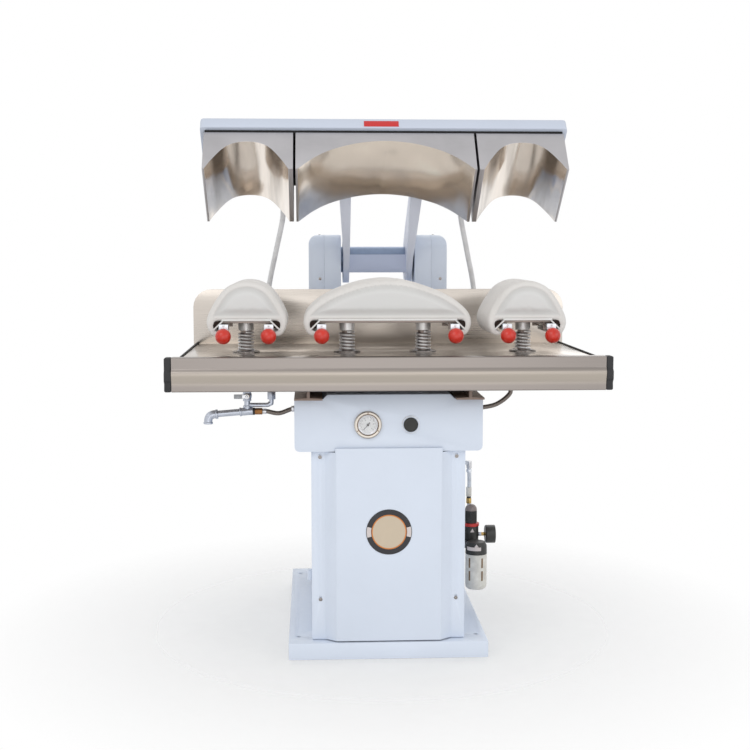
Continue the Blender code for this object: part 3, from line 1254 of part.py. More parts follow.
def make_steam_pipe():
    """The supply: an elbow and pipe to a tee, a stem up to the table, a nut for the hose, and a riser."""
    y = LOOP_Y
    elbow = Vector((PIPE_END_X, y, PIPE_Z - PIPE_FALL))
    tee = Vector((STEM_X, y, PIPE_Z))
    corner = PIPE_RADIUS * ELBOW_BEND_share
    bend = [(elbow.x, y, elbow.z - PIPE_MOUTH), (elbow.x, y, elbow.z - corner),
            (elbow.x + corner * BEND_MIDDLE_share, y,
             elbow.z - corner * BEND_MIDDLE_share), (elbow.x + corner, y, elbow.z),
            (elbow.x + PIPE_MOUTH, y, elbow.z)]
    bore = rod((elbow.x, y, elbow.z - PIPE_MOUTH - OVERRUN), (elbow.x, y, elbow.z - corner), PIPE_BORE, 16)
    pipe = rod((elbow.x + PIPE_MOUTH / 2, y, elbow.z), tee, PIPE_THIN, 16)
    stem = rod((STEM_X, y, PIPE_Z - PIPE_RADIUS), (STEM_X, y, TABLE_UNDER - SEAT), STEM_RADIUS, 16)
    valve = rod((STEM_X, y, VALVE_Z - VALVE_LENGTH / 2), (STEM_X, y, VALVE_Z + VALVE_LENGTH / 2),
                VALVE_RADIUS, 6)
    spindle = rod((STEM_X, y, VALVE_Z), (STEM_X, y - VALVE_RADIUS - HANDLE_LIFT, VALVE_Z), HANDLE_POST, 12)
    nut = rod((STEM_X, y, PIPE_Z), (STEM_X + NUT_START + NUT_LENGTH, y, PIPE_Z), VALVE_RADIUS, 6)
    riser = [(STEM_X, y, VALVE_Z - RISER_DROP), (RISER_X - RISER_BEND, y, VALVE_Z - RISER_DROP),
             (RISER_X - RISER_BEND * BEND_MIDDLE_share, y,
              VALVE_Z - RISER_DROP + RISER_BEND * BEND_MIDDLE_share),
             (RISER_X, y, VALVE_Z - RISER_DROP + RISER_BEND), (RISER_X, y, TABLE_UNDER - SEAT)]
    union = rod((RISER_X, y, VALVE_Z - NUT_LENGTH / 2), (RISER_X, y, VALVE_Z + NUT_LENGTH / 2), VALVE_RADIUS,
                6)
    risen = tube(riser, RISER_RADIUS, 1)
    joined = weld(tube(bend, PIPE_RADIUS, 2), pipe, stem, valve, spindle, nut, risen, union)
    piece("steam_pipe", cut(joined, bore), "steel")
    seat_y = y - VALVE_RADIUS - HANDLE_LIFT
    handle = slab((STEM_X - HANDLE_LENGTH, STEM_X + HANDLE_WIDTH / 2),
                  (VALVE_Z - HANDLE_WIDTH / 2,
                   VALVE_Z + HANDLE_WIDTH / 2), "XZ", seat_y - HANDLE_THICK - SEAT,
                  seat_y - SEAT)
    axis = axis_at("valve_handle_axis", (STEM_X, seat_y, VALVE_Z))
    hang(piece("valve_handle", rounded_edges(handle, FINE_ROUND, 1), "red_plastic"), axis)


def make_side_hoses():
    """Braided hoses from the pipework into both sides of the control box."""
    edge = BOX_WIDTH / 2
    inside = edge - SHEET - OVERRUN
    start = STEM_X + NUT_START + NUT_LENGTH + SEAT
    left = [(start, LOOP_Y, PIPE_Z), (start + LOOP_STRAIGHT, LOOP_Y, PIPE_Z),
            ((start - edge) / 2, LOOP_Y, PIPE_Z - LOOP_SAG), (-edge - LOOP_STRAIGHT, LOOP_Y,
                                                              LOOP_Z - LOOP_DIP),
            (-edge, LOOP_Y, LOOP_Z), (-inside, LOOP_Y, LOOP_Z)]
    piece("steam_hose_left", tube(route_through(left, 4), SIDE_HOSE_RADIUS, 2), "braid")
    turn_out, turn_up = LOOP_TURN_shares
    right = [(inside, LOOP_Y, LOOP_Z), (edge + LOOP_STRAIGHT, LOOP_Y, LOOP_Z),
             (edge + (RIGHT_RISE_X - edge) * turn_out, LOOP_Y, LOOP_Z + LOOP_LIFT * turn_up),
             (RIGHT_RISE_X, LOOP_Y, LOOP_Z + LOOP_LIFT), (RIGHT_RISE_X + LOOP_SAG, LOOP_Y, RIGHT_RISE_Z)]
    riser = rod((RIGHT_RISE_X + LOOP_SAG, LOOP_Y, RIGHT_RISE_Z),
                (RIGHT_RISE_X + LOOP_SAG, LOOP_Y, TABLE_UNDER - SEAT),
                UNION_RADIUS, 6)
    piece("steam_hose_right", weld(tube(route_through(right, 4), SIDE_HOSE_RADIUS, 2), riser), "braid")


def make_filter():
    low = BOWL_BOTTOM
    top = low + BOWL_HEIGHT
    soft = BOWL_ROUND
    bowl = [(0, top), (BOWL_RADIUS, top), (BOWL_RADIUS, low + soft),
            (BOWL_RADIUS - soft * BEND_MIDDLE_share, low + soft * BEND_MIDDLE_share),
            (BOWL_RADIUS - soft, low), (0, low)]
    piece("filter_bowl", turned(bowl, (FILTER_X, FILTER_Y, 0), sides=20), "pale")
    head_low = top + SEAT
    head_top = head_low + FILTER_HEAD_HEIGHT
    head = turned([(0, head_top), (BOWL_RADIUS * HEAD_TAPER_share, head_top), (BOWL_RADIUS, head_top - soft),
                   (BOWL_RADIUS, head_low), (0, head_low)], (FILTER_X, FILTER_Y, 0), sides=20)
    body = turned([(0, head_top + REGULATOR_TOP), (REGULATOR_RADIUS, head_top + REGULATOR_TOP),
                   (REGULATOR_RADIUS, head_low), (0, head_low)], (REGULATOR_X, REGULATOR_Y, 0), sides=20)
    bridge_top = head_top - soft
    bridge = box((FILTER_X - BLOCK_HALF, FILTER_Y, head_low + EDGE_ROUND),
                 (FILTER_X + BLOCK_HALF, REGULATOR_Y,
                 bridge_top))
    ring_low = head_top + REGULATOR_TOP
    ring = rod((REGULATOR_X, REGULATOR_Y, ring_low - EDGE_ROUND),
               (REGULATOR_X, REGULATOR_Y, ring_low + LOCK_RING), LOCK_RING_RADIUS, 20)
    wall = CABINET_WIDTH / 2 + SEAT
    bracket_low = bridge_top - BRACKET_HEIGHT
    bracket = box((wall, FILTER_Y + BRACKET_START, bridge_top - BRACKET_THICK),
                  (FILTER_X, REGULATOR_Y, bridge_top))
    plate = box((wall, FILTER_Y + BRACKET_START, bracket_low),
                (wall + BRACKET_THICK, REGULATOR_Y, bridge_top))
    piece("regulator_body", weld(head, body, bridge, ring, bracket, plate), "black_plastic")
    knob_low = ring_low + LOCK_RING + SEAT
    knob_top = knob_low + KNOB_HEIGHT
    profile = [(0, knob_top)]
    for i in range(1, 6):
        angle = math.pi / 2 * i / 5
        profile.append((KNOB_RADIUS * math.sin(angle), knob_top - KNOB_DOME * (1 - math.cos(angle))))
    profile += [(KNOB_RADIUS, knob_low), (0, knob_low)]
    knob = turned(profile, (REGULATOR_X, REGULATOR_Y, 0), sides=16)
    axis = axis_at("regulator_knob_axis", (REGULATOR_X, REGULATOR_Y, knob_low))
    hang(piece("regulator_knob", knob, "black_plastic"), axis)
    gauge_z = head_low + SIDE_GAUGE_RISE
    neck = REGULATOR_X + REGULATOR_RADIUS + SEAT
    start = neck + SIDE_GAUGE_STEM
    radius = SIDE_GAUGE_RADIUS
    profile = [(0, start + SIDE_GAUGE_DEPTH), (radius - EDGE_ROUND, start + SIDE_GAUGE_DEPTH),
               (radius, start + SIDE_GAUGE_DEPTH - EDGE_ROUND), (radius, start + EDGE_ROUND),
               (radius - EDGE_ROUND, start), (SIDE_GAUGE_NECK, start), (SIDE_GAUGE_NECK, neck), (0, neck)]
    piece("regulator_gauge", turned(profile, (0, REGULATOR_Y, gauge_z), (1, 0, 0), 20), "black_plastic")


def make_air_line():
    """The air line from the regulator's back up beside the cabinet and in through its side."""
    low = BOWL_BOTTOM + BOWL_HEIGHT + SEAT + SIDE_GAUGE_RISE
    x = REGULATOR_X
    wall = CABINET_WIDTH / 2 + SEAT
    start = REGULATOR_Y + REGULATOR_RADIUS + SEAT
    middle = AIR_BEND * BEND_MIDDLE_share
    route = [(x, start, low), (x, start + AIR_STRAIGHT, low), (x, AIR_PIPE_Y, low + AIR_SWEEP),
             (x, AIR_PIPE_Y, low + AIR_SWEEP + 2 * AIR_STRAIGHT), (x, AIR_PIPE_Y, AIR_TOP_Z - AIR_BEND),
             (x - middle, AIR_PIPE_Y, AIR_TOP_Z - middle), (x - AIR_BEND, AIR_PIPE_Y, AIR_TOP_Z),
             (wall, AIR_PIPE_Y, AIR_TOP_Z)]
    line = tube(route_through(route, 3), AIR_PIPE_RADIUS, 2)
    heights = [low + share * (AIR_TOP_Z - low) for share in AIR_NUT_shares]
    nuts = [rod((x, AIR_PIPE_Y, z), (x, AIR_PIPE_Y, z + NUT_LENGTH), AIR_FITTING_RADIUS, 6) for z in heights]
    foot = rod((x, start, low), (x, start + AIR_STRAIGHT, low), AIR_FITTING_RADIUS, 6)
    piece("air_line", weld(line, foot, *nuts), "pale")


def make_elbow(side, name, hose_x):
    """The elbow below a head hose: its pipe comes through the tower's side wall."""
    x = side * hose_x
    inside = side * (CABINET_WIDTH / 2 - SHEET - EDGE_ROUND)
    top = (x, HOSE_FOOT_Y, HOSE_FOOT_Z - SEAT)
    route = [(inside, HOSE_FOOT_Y, ELBOW_Z), (x - side * ELBOW_BEND, HOSE_FOOT_Y, ELBOW_Z),
             (x - side * ELBOW_BEND * BEND_MIDDLE_share, HOSE_FOOT_Y,
              ELBOW_Z + ELBOW_BEND * BEND_MIDDLE_share),
             (x, HOSE_FOOT_Y, ELBOW_Z + ELBOW_BEND), top]
    socket = rod((x, HOSE_FOOT_Y, HOSE_FOOT_Z - SEAT - NUT_LENGTH), top, ELBOW_SOCKET, 6)
    piece(name, weld(tube(route, ELBOW_PIPE_RADIUS, 2), socket), "steel")


def make_head_hose(head, name, port_x, hose_x, route_points):
    """A steam hose from a chest's port over the back panel down to its elbow, shown with the head open."""
    port = turned_open((CHEST_BACK + PORT_LENGTH + SEAT, CHEST_TOP - PORT_DROP))
    aim = Vector((0, math.cos(OPEN_TILT), -math.sin(OPEN_TILT)))
    start = Vector((port_x, *port))
    end = Vector((hose_x, HOSE_FOOT_Y, HOSE_FOOT_Z))
    route = [start, start + aim * HOSE_STRAIGHT, *route_points, end + Vector((0, 0, HOSE_STRAIGHT)), end]
    made = piece(name, tube(route_through(route, 3), HEAD_HOSE_RADIUS, 2), "hose")
    made.data.transform(closing_turn())
    hang(made, head)


def turned_open(point):
    """A (y, z) point of the closed head as it lies when the head is open."""
    y, z = point[0] - PIVOT.y, point[1] - PIVOT.z
    return (PIVOT.y + y * math.cos(OPEN_TILT) + z * math.sin(OPEN_TILT),
            PIVOT.z - y * math.sin(OPEN_TILT) + z * math.cos(OPEN_TILT))


def closing_turn():
    """The turn that takes the open head to where it is closed, about the pivot."""
    return Matrix.Translation(PIVOT) @ Matrix.Rotation(OPEN_TILT, 4, "X") @ Matrix.Translation(-PIVOT)


def build():
    make_base()
    make_cabinet()
    make_front_cover()
    make_control_box()
    make_bearers()
    make_table()
    make_back_panel()
    make_front_bar()
    for name, x in (("left", -CUFF_POST_X), ("collar_left", -COLLAR_POST_X), ("collar_right", COLLAR_POST_X),
                    ("right", CUFF_POST_X)):
        make_bush("guide_bush_" + name, x)
        make_spring("spring_" + name, x)
    cuff = (CUFF_PAD_HALF, CUFF_PAD_RISE, CUFF_PAD_shares)
    collar = (COLLAR_PAD_HALF, COLLAR_PAD_RISE, COLLAR_PAD_shares)
    for name, centre, (half, rise, shares), posts, reach in (
            ("left", -CUFF_X, cuff, [-CUFF_POST_X], LEVER_CUFF_X),
            ("collar", 0.0, collar, [-COLLAR_POST_X, COLLAR_POST_X], LEVER_COLLAR_X),
            ("right", CUFF_X, cuff, [CUFF_POST_X], LEVER_CUFF_X)):
        make_buck("buck_" + name, centre, half, posts, [centre - reach, centre + reach])
        make_pad("pad_" + name, centre, half, rise, shares)
        make_lever("lever_" + name + "_a", centre - reach, -1)
        make_lever("lever_" + name + "_b", centre + reach, 1)
    head = axis_at("head_pivot", PIVOT, -OPEN_TILT)
    make_pivot_shaft(head)
    make_yoke(head)
    make_beam(head)
    make_board(head)
    make_hood(head)
    cuff_apex = PAD_WAIST + CUFF_PAD_RISE + PRESS_GAP
    collar_apex = PAD_WAIST + COLLAR_PAD_RISE + PRESS_GAP
    cuff_span = CUFF_CHEST_HALF - ARCH_TIP
    collar_span = COLLAR_CHEST_HALF - ARCH_TIP
    inner = COLLAR_CHEST_HALF + CHEST_GAP
    make_chest(head, "chest_left", -CUFF_X, cuff_span, -HEAD_HALF, -inner, cuff_apex, CUFF_ARCH_shares,
               LEFT_PORT_X)
    make_chest(head, "chest_collar", 0.0, collar_span, -COLLAR_CHEST_HALF, COLLAR_CHEST_HALF, collar_apex,
               COLLAR_ARCH_shares, RIGHT_PORT_X)
    make_chest(head, "chest_right", CUFF_X, cuff_span, inner, HEAD_HALF, cuff_apex, CUFF_ARCH_shares, None)
    for side, name in ((-1, "left"), (1, "right")):
        make_housing(side, "housing_" + name)
        make_housing_cover(side, "housing_cover_" + name)
    make_drive()
    make_gauge()
    make_button()
    make_steam_pipe()
    make_side_hoses()
    make_filter()
    make_air_line()
    make_elbow(-1, "hose_elbow_left", LEFT_HOSE_X)
    make_elbow(1, "hose_elbow_right", RIGHT_HOSE_X)
    make_head_hose(head, "head_hose_left", LEFT_PORT_X, -LEFT_HOSE_X, LEFT_HEAD_HOSE)
    make_head_hose(head, "head_hose_right", RIGHT_PORT_X, RIGHT_HOSE_X, RIGHT_HEAD_HOSE)


build()
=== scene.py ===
"""Looks of the collar and cuff press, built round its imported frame.

Metres, +Z up, the operator stands on the -Y side. The camera stands where the photograph was taken from.
"""

import json
import math

import bmesh
import bpy
from mathutils import Matrix, Vector


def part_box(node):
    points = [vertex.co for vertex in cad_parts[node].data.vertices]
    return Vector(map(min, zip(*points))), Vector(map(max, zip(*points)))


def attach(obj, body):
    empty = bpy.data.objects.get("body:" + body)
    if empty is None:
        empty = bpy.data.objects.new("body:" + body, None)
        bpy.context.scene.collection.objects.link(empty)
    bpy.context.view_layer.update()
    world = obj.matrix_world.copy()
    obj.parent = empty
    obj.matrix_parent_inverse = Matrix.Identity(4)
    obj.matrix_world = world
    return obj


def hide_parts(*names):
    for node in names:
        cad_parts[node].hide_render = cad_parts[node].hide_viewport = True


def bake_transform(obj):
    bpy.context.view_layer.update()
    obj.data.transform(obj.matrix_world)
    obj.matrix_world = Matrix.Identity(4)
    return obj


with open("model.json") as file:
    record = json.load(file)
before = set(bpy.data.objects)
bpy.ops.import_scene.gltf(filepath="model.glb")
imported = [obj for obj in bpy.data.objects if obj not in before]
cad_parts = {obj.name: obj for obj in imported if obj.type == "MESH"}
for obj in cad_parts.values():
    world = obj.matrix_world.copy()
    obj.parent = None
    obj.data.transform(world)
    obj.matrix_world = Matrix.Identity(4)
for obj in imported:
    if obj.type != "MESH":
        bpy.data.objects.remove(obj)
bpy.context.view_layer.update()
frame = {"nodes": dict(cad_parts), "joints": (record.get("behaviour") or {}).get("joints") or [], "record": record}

# Places and sizes that the pieces share, read from the frame
JOINTS = {joint["name"]: joint for joint in frame["joints"]}
PIVOT = Vector(JOINTS["head_pivot"]["pos_m"])
OPEN_TILT = math.radians(JOINTS["head_pivot"]["range_deg"][1])
OPENING = Matrix.Translation(PIVOT) @ Matrix.Rotation(-OPEN_TILT, 4, "X") @ Matrix.Translation(-PIVOT)
TABLE_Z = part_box("table_top")[1].z
BOX_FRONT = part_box("gauge_needle")[1].y + 0.0038
COVER_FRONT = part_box("front_cover")[0].y
COVER_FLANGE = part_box("front_cover")[1].y - 0.002
CABINET_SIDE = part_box("cabinet")[1].x

PLANES = {
    "XZ": Matrix(((1, 0, 0, 0), (0, 0, -1, 0), (0, 1, 0, 0), (0, 0, 0, 1))),
    "YZ": Matrix(((0, 0, 1, 0), (1, 0, 0, 0), (0, 1, 0, 0), (0, 0, 0, 1))),
}


# Materials

def finish(name, colour, roughness, metallic=0.0, **sockets):
    """A material with one Principled shader. Its even values sit on the shader's own sockets."""
    material = bpy.data.materials.new(name)
    material.use_nodes = True
    shader = material.node_tree.nodes["Principled BSDF"]
    shader.inputs["Base Color"].default_value = (*colour, 1)
    shader.inputs["Roughness"].default_value = roughness
    shader.inputs["Metallic"].default_value = metallic
    for socket, value in sockets.items():
        shader.inputs[socket.replace("_", " ")].default_value = value
    return material


def put(tree, kind, inputs=None, **settings):
    """A node of a tree, with its settings and its inputs: a value or another node's output for each."""
    made = tree.nodes.new(kind)
    for setting, value in settings.items():
        setattr(made, setting, value)
    for socket, value in (inputs or {}).items():
        if isinstance(value, bpy.types.NodeSocket):
            tree.links.new(value, made.inputs[socket])
        else:
            made.inputs[socket].default_value = value
    return made


def add(material, kind, inputs=None, **settings):
    return put(material.node_tree, kind, inputs, **settings)


def feed(material, socket, output):
    """Link an output to a socket of the material's shader."""
    shader = material.node_tree.nodes["Principled BSDF"]
    material.node_tree.links.new(output, shader.inputs[socket])


def place(material, scale=(1, 1, 1)):
    """Object coordinates in metres, stretched by a scale."""
    coordinates = add(material, "ShaderNodeTexCoord")
    mapping = add(material, "ShaderNodeMapping", {"Vector": coordinates.outputs["Object"], "Scale": scale})
    return mapping.outputs["Vector"]


def along(material, scale):
    """The piece's own UV map: across it and along it, in metres, stretched by a scale."""
    coordinates = add(material, "ShaderNodeUVMap", uv_map="route")
    mapping = add(material, "ShaderNodeMapping", {"Vector": coordinates.outputs["UV"], "Scale": scale})
    return mapping.outputs["Vector"]


def noise(material, scale, detail=4.0, roughness=0.55):
    """Cloudy noise at a scale, or stretched by a scale for each axis."""
    vector, even = (place(material, scale), 1.0) if isinstance(scale, tuple) else (place(material), scale)
    return add(material, "ShaderNodeTexNoise", {"Vector": vector, "Scale": even, "Detail": detail,
                                                "Roughness": roughness}).outputs["Fac"]


def waves(material, vector, scale, direction, more=None):
    """Wavy bands across a direction."""
    return add(material, "ShaderNodeTexWave", {"Vector": vector, "Scale": scale, **(more or {})},
               bands_direction=direction).outputs["Fac"]


def share(material, name):
    """A value between 0 and 1 that is stored on the piece's points."""
    return add(material, "ShaderNodeAttribute", attribute_name=name).outputs["Fac"]


def maths(material, operation, *values):
    """What an operation makes of values, such as their sum."""
    return add(material, "ShaderNodeMath", dict(enumerate(values)), operation=operation).outputs[0]


def spread(material, value, low, high, start=0.0, end=1.0):
    """A value mapped from start-end onto low-high."""
    return add(material, "ShaderNodeMapRange", {"Value": value, "From Min": start, "From Max": end,
                                                "To Min": low, "To Max": high}).outputs["Result"]


def tint(colour, factor):
    return tuple(min(1.0, channel * factor) for channel in colour)


def shades(material, value, colour, *stops):
    """Shades of a colour along a value, from (place, factor or colour) stops, to the shader's colour."""
    ramp = add(material, "ShaderNodeValToRGB", {"Fac": value})
    elements = ramp.color_ramp.elements
    while len(elements) < len(stops):
        elements.new(0.5)
    for element, (where, shade) in zip(elements, stops):
        element.position = where
        element.color = (*(shade if isinstance(shade, tuple) else tint(colour, shade)), 1)
    feed(material, "Base Color", ramp.outputs["Color"])
    return ramp.outputs["Color"]


def relief(material, height, distance, strength=1.0):
    """A bump of a real height in metres, from a height between 0 and 1."""
    made = add(material, "ShaderNodeBump", {"Height": height, "Distance": distance, "Strength": strength})
    feed(material, "Normal", made.outputs["Normal"])


def mixed(material, value, low, high):
    """Two colours mixed by a value."""
    low, high = (entry if isinstance(entry, bpy.types.NodeSocket) else (*entry, 1) for entry in (low, high))
    return add(material, "ShaderNodeMix", {0: value, 6: low, 7: high}, data_type="RGBA").outputs[2]


def enamel(name, colour):
    """Sprayed enamel: orange peel and clouding."""
    made = finish(name, colour, 0.42, Coat_Weight=0.08, Coat_Roughness=0.25)
    clouds = noise(made, 5.0, 5.0)
    shades(made, clouds, colour, (0.25, 0.97), (0.55, 1), (0.8, 1.02))
    feed(made, "Roughness", spread(made, noise(made, 60.0, 3.0), 0.34, 0.52, 0.3, 0.7))
    relief(made, noise(made, 420.0, 2.0), 0.00012, 0.5)
    return made


def brushed(name, colour, grain, roughness, spots=0.06, contrast=0.10):
    """Brushed sheet metal: grain along one axis, smears, and a few rubbed spots."""
    made = finish(name, colour, roughness, 1.0, Anisotropic=0.35)
    lines = noise(made, grain, 3.0, 0.7)
    smears = noise(made, (3.0, 5.0, 9.0), 3.0)
    both = maths(made, "ADD", lines, smears)
    shades(made, spread(made, both, 0.0, 1.0, 0.6, 1.4), colour, (0.1, 1 - contrast), (0.5, 1),
           (0.95, 1 + contrast))
    feed(made, "Roughness", spread(made, both, roughness - spots, roughness + spots, 0.7, 1.3))
    relief(made, lines, 0.00003, 0.25)
    return made


def machined(name, colour, roughness, pitch=1400.0, metal=1.0):
    """Turned steel: fine tool rings across Z, with a little oil stain."""
    made = finish(name, colour, roughness, metal)
    stain = noise(made, 70.0, 4.0)
    shades(made, stain, colour, (0.3, 0.90), (0.6, 1), (0.85, 1.06))
    rings = waves(made, place(made), pitch / 20, "Z", {"Distortion": 0.4})
    feed(made, "Roughness", spread(made, stain, roughness - 0.03, roughness + 0.07, 0.3, 0.7))
    relief(made, rings, 0.00002, 0.15)
    return made


def ground(name, colour):
    """The chests' ground faces: fine marks across them and a faint heat cloud."""
    made = finish(name, colour, 0.34, 1.0)
    marks = noise(made, (30.0, 300.0, 300.0), 3.0, 0.7)
    clouds = noise(made, 9.0, 3.0)
    both = maths(made, "ADD", spread(made, marks, -0.12, 0.12), clouds)
    shades(made, both, colour, (0.30, 0.93), (0.5, 1), (0.72, 1.06))
    feed(made, "Roughness", spread(made, clouds, 0.30, 0.40, 0.35, 0.65))
    relief(made, marks, 0.00005, 0.3)
    return made


# Colour of the painted shade on the cuff arches' haunches
PAINTED_HAUNCH_SHADE = (0.16, 0.13, 0.105)
PANEL_WEAR = (0.70, 0.705, 0.70)
# Colour of the painted shade in the pads' seam
PAINTED_SEAM_SHADE = (0.50, 0.49, 0.47)


def polished(name, colour, drawn):
    """A pressing arch: bright metal with soft streaks painted in as reflections, and painted shade at its
    haunches.
    """
    made = finish(name, colour, 0.15, 1.0)
    # Painted reflections: soft streaks that darken and brighten the arch's colour
    streaks = noise(made, drawn, 2.0, 0.5)
    fine = noise(made, (240.0, 5.0, 30.0), 3.0, 0.6)
    both = maths(made, "ADD", streaks, spread(made, fine, -0.06, 0.06))
    streaked = shades(made, both, colour, (0.34, 0.76), (0.47, 0.96), (0.62, 1), (0.75, 1.1))
    # Painted shade: a share stored on the points darkens the haunches towards a dark brown
    stain = spread(made, share(made, "stain_share"), 0.0, 0.85, 0.10, 0.80)
    feed(made, "Base Color", mixed(made, stain, streaked, PAINTED_HAUNCH_SHADE))
    feed(made, "Roughness", spread(made, both, 0.24, 0.11, 0.35, 0.65))
    relief(made, fine, 0.00005, 0.25)
    return made


def moulded(name, colour, roughness, grain=0.4):
    """Moulded plastic or rubber with a fine grain and dust in it."""
    made = finish(name, colour, roughness)
    dust = noise(made, 45.0, 5.0)
    shades(made, dust, colour, (0.35, 0.8), (0.6, 1), (0.9, 1.5))
    feed(made, "Roughness", spread(made, dust, roughness - 0.05, roughness + 0.1, 0.3, 0.7))
    relief(made, noise(made, 1500.0, 2.0), 0.0001, grain)
    return made


def lacquered(name, colour):
    """Glossy moulded knobs, with faint flow marks and hand wear."""
    made = finish(name, colour, 0.30, Coat_Weight=0.25, Coat_Roughness=0.08)
    flow = noise(made, 55.0, 4.0)
    shades(made, flow, colour, (0.3, 0.86), (0.6, 1), (0.85, 1.12))
    feed(made, "Roughness", spread(made, noise(made, 260.0, 3.0), 0.26, 0.38, 0.35, 0.7))
    relief(made, flow, 0.0001, 0.2)
    return made


def cotton(name, colour):
    """Stretched woven cotton: crossing sets of threads, slubs, a steam-yellowed cloud, and painted shade along the
    sewn seam.
    """
    made = finish(name, colour, 0.88, Sheen_Weight=0.25, Sheen_Roughness=0.5)
    at = place(made)
    uneven = {"Distortion": 1.2, "Detail": 1.0, "Detail Scale": 2.0}
    threads = [waves(made, at, 110.0, axis, uneven) for axis in ("X", "Y", "Z")]
    weave = maths(made, "ADD", maths(made, "ADD", threads[0], threads[1]), threads[2])
    cloud = noise(made, 9.0, 5.0)
    slub = noise(made, (220.0, 700.0, 220.0), 3.0)
    fade = mixed(made, spread(made, cloud, 0.0, 1.0, 0.35, 0.7), tint(colour, 0.93), colour)
    deep = mixed(made, spread(made, slub, 0.0, 0.10, 0.4, 0.8), fade, tint(colour, 0.75))
    cool = mixed(made, spread(made, share(made, "face_share"), 0.0, 0.75), deep, PANEL_WEAR)
    # Painted shade: the cloth darkens along the sewn seam's crease
    feed(made, "Base Color", mixed(made, spread(made, share(made, "seam_share"), 0.0, 0.4), cool, PAINTED_SEAM_SHADE))
    relief(made, spread(made, weave, 0.0, 1.0, 0.0, 3.0), 0.00025, 0.55)
    return made


def sleeved(name, colour):
    """A hose's woven sleeve: fine helical threads round its own route."""
    made = finish(name, colour, 0.60)
    threads = waves(made, along(made, (1, 1, 1)), 90.0, "DIAGONAL")
    soil = noise(made, 30.0, 4.0)
    shades(made, soil, colour, (0.3, 0.86), (0.6, 1), (0.85, 1.08))
    relief(made, threads, 0.0002, 0.4)
    return made


def braided(name, dark, bright):
    """Braided wire over rubber: two crossing sets of strands round the hose's route."""
    made = finish(name, dark, 0.42, 0.7)
    sets = [waves(made, along(made, (way, 1.0, 1)), 130.0, "DIAGONAL", {"Phase Offset": turn})
            for way, turn in ((1.0, 0.0), (-1.0, 1.6))]
    cross = maths(made, "MAXIMUM", *sets)
    shades(made, cross, dark, (0.2, 0.75), (0.6, 1), (0.95, bright))
    relief(made, cross, 0.0003, 0.5)
    return made


def printed(name, colour):
    """A printed or enamelled plate: flat colour with fine speckle and rubbed edges."""
    made = finish(name, colour, 0.35)
    speckle = noise(made, 900.0, 2.0)
    rub = noise(made, 40.0, 4.0)
    base = mixed(made, spread(made, speckle, 0.0, 0.12, 0.45, 0.8), colour, tint(colour, 0.8))
    feed(made, "Base Color", mixed(made, spread(made, rub, 0.0, 0.15, 0.5, 0.8), base, tint(colour, 1.2)))
    feed(made, "Roughness", spread(made, rub, 0.28, 0.46, 0.3, 0.7))
    return made


def bar_finish(name, colour, crest_highlight, middle, reach):
    """The bar's brushed steel, with a painted highlight along the middle of its band."""
    made = brushed(name, colour, (5.0, 700.0, 700.0), 0.34, 0.05, 0.05)
    height = add(made, "ShaderNodeSeparateXYZ", {0: place(made)}).outputs["Z"]
    off = maths(made, "ABSOLUTE", maths(made, "SUBTRACT", height, middle))
    # Painted highlight: the colour brightens towards the band's middle height
    rub = add(made, "ShaderNodeMapRange", {"Value": off, "From Min": reach, "From Max": reach * 0.15},
              interpolation_type="SMOOTHSTEP").outputs["Result"]
    plain = made.node_tree.nodes["Principled BSDF"].inputs["Base Color"].links[0].from_socket
    feed(made, "Base Color", mixed(made, rub, plain, crest_highlight))
    return made


ENAMEL = enamel("pale_enamel", (0.70, 0.765, 0.875))
# Painted light: a lighter copy of the pale enamel for the yoke's arms, which sit in shade
PAINTED_LIGHT_ARM_ENAMEL = enamel("arm_enamel", (0.79, 0.83, 0.94))
# Painted shade: a darker copy of the same pale enamel, for the hood
PAINTED_SHADE_HOOD_ENAMEL = enamel("hood_enamel", (0.60, 0.655, 0.765))
# Painted shade: dark brown for the subframe's bearers, which sit in shade under the bar
PAINTED_SHADE_SUBFRAME_ENAMEL = enamel("brown_primer", (0.22, 0.155, 0.125))
PANEL_STEEL = brushed("brushed_panel", (0.60, 0.55, 0.50), (6.0, 900.0, 900.0), 0.30, 0.06, 0.06)
TABLE_STEEL = brushed("brushed_table", (0.52, 0.475, 0.43), (6.0, 900.0, 900.0), 0.22, 0.05, 0.08)
# The bar's steel carries a painted highlight along its band
BAR_STEEL = bar_finish("brushed_bar", (0.275, 0.247, 0.230), (0.43, 0.385, 0.335), 0.8035, 0.026)
CHEST_FACE = ground("ground_chest", (0.455, 0.445, 0.46))
CUFF_FINISH = polished("polished_cuff_arch", (0.88, 0.81, 0.74), (34.0, 1.3, 5.0))
COLLAR_FINISH = polished("polished_collar_arch", (0.95, 0.875, 0.79), (7.0, 9.0, 4.0))
STEEL = machined("turned_steel", (0.62, 0.62, 0.64), 0.28)
SLEEVE_STEEL = machined("sleeve_steel", (0.86, 0.855, 0.85), 0.40, metal=0.7)
SPRING_STEEL = machined("spring_steel", (0.86, 0.86, 0.87), 0.30, 4000.0, 0.6)
PLATE_STEEL = machined("plate_steel", (0.34, 0.29, 0.265), 0.45, 500.0)
SHAFT_STEEL = machined("shaft_steel", (0.215, 0.27, 0.38), 0.34)
SHAFT_DULL = machined("bush_steel", (0.30, 0.28, 0.27), 0.22)
BLOCK_STEEL = machined("block_steel", (0.76, 0.79, 0.84), 0.40, 500.0)
GREY_GRIP = moulded("pale_grip", (0.52, 0.54, 0.57), 0.45)
SMOKED = moulded("smoked_dome", (0.26, 0.215, 0.205), 0.16)
DISC = printed("bare_disc", (0.60, 0.50, 0.375))
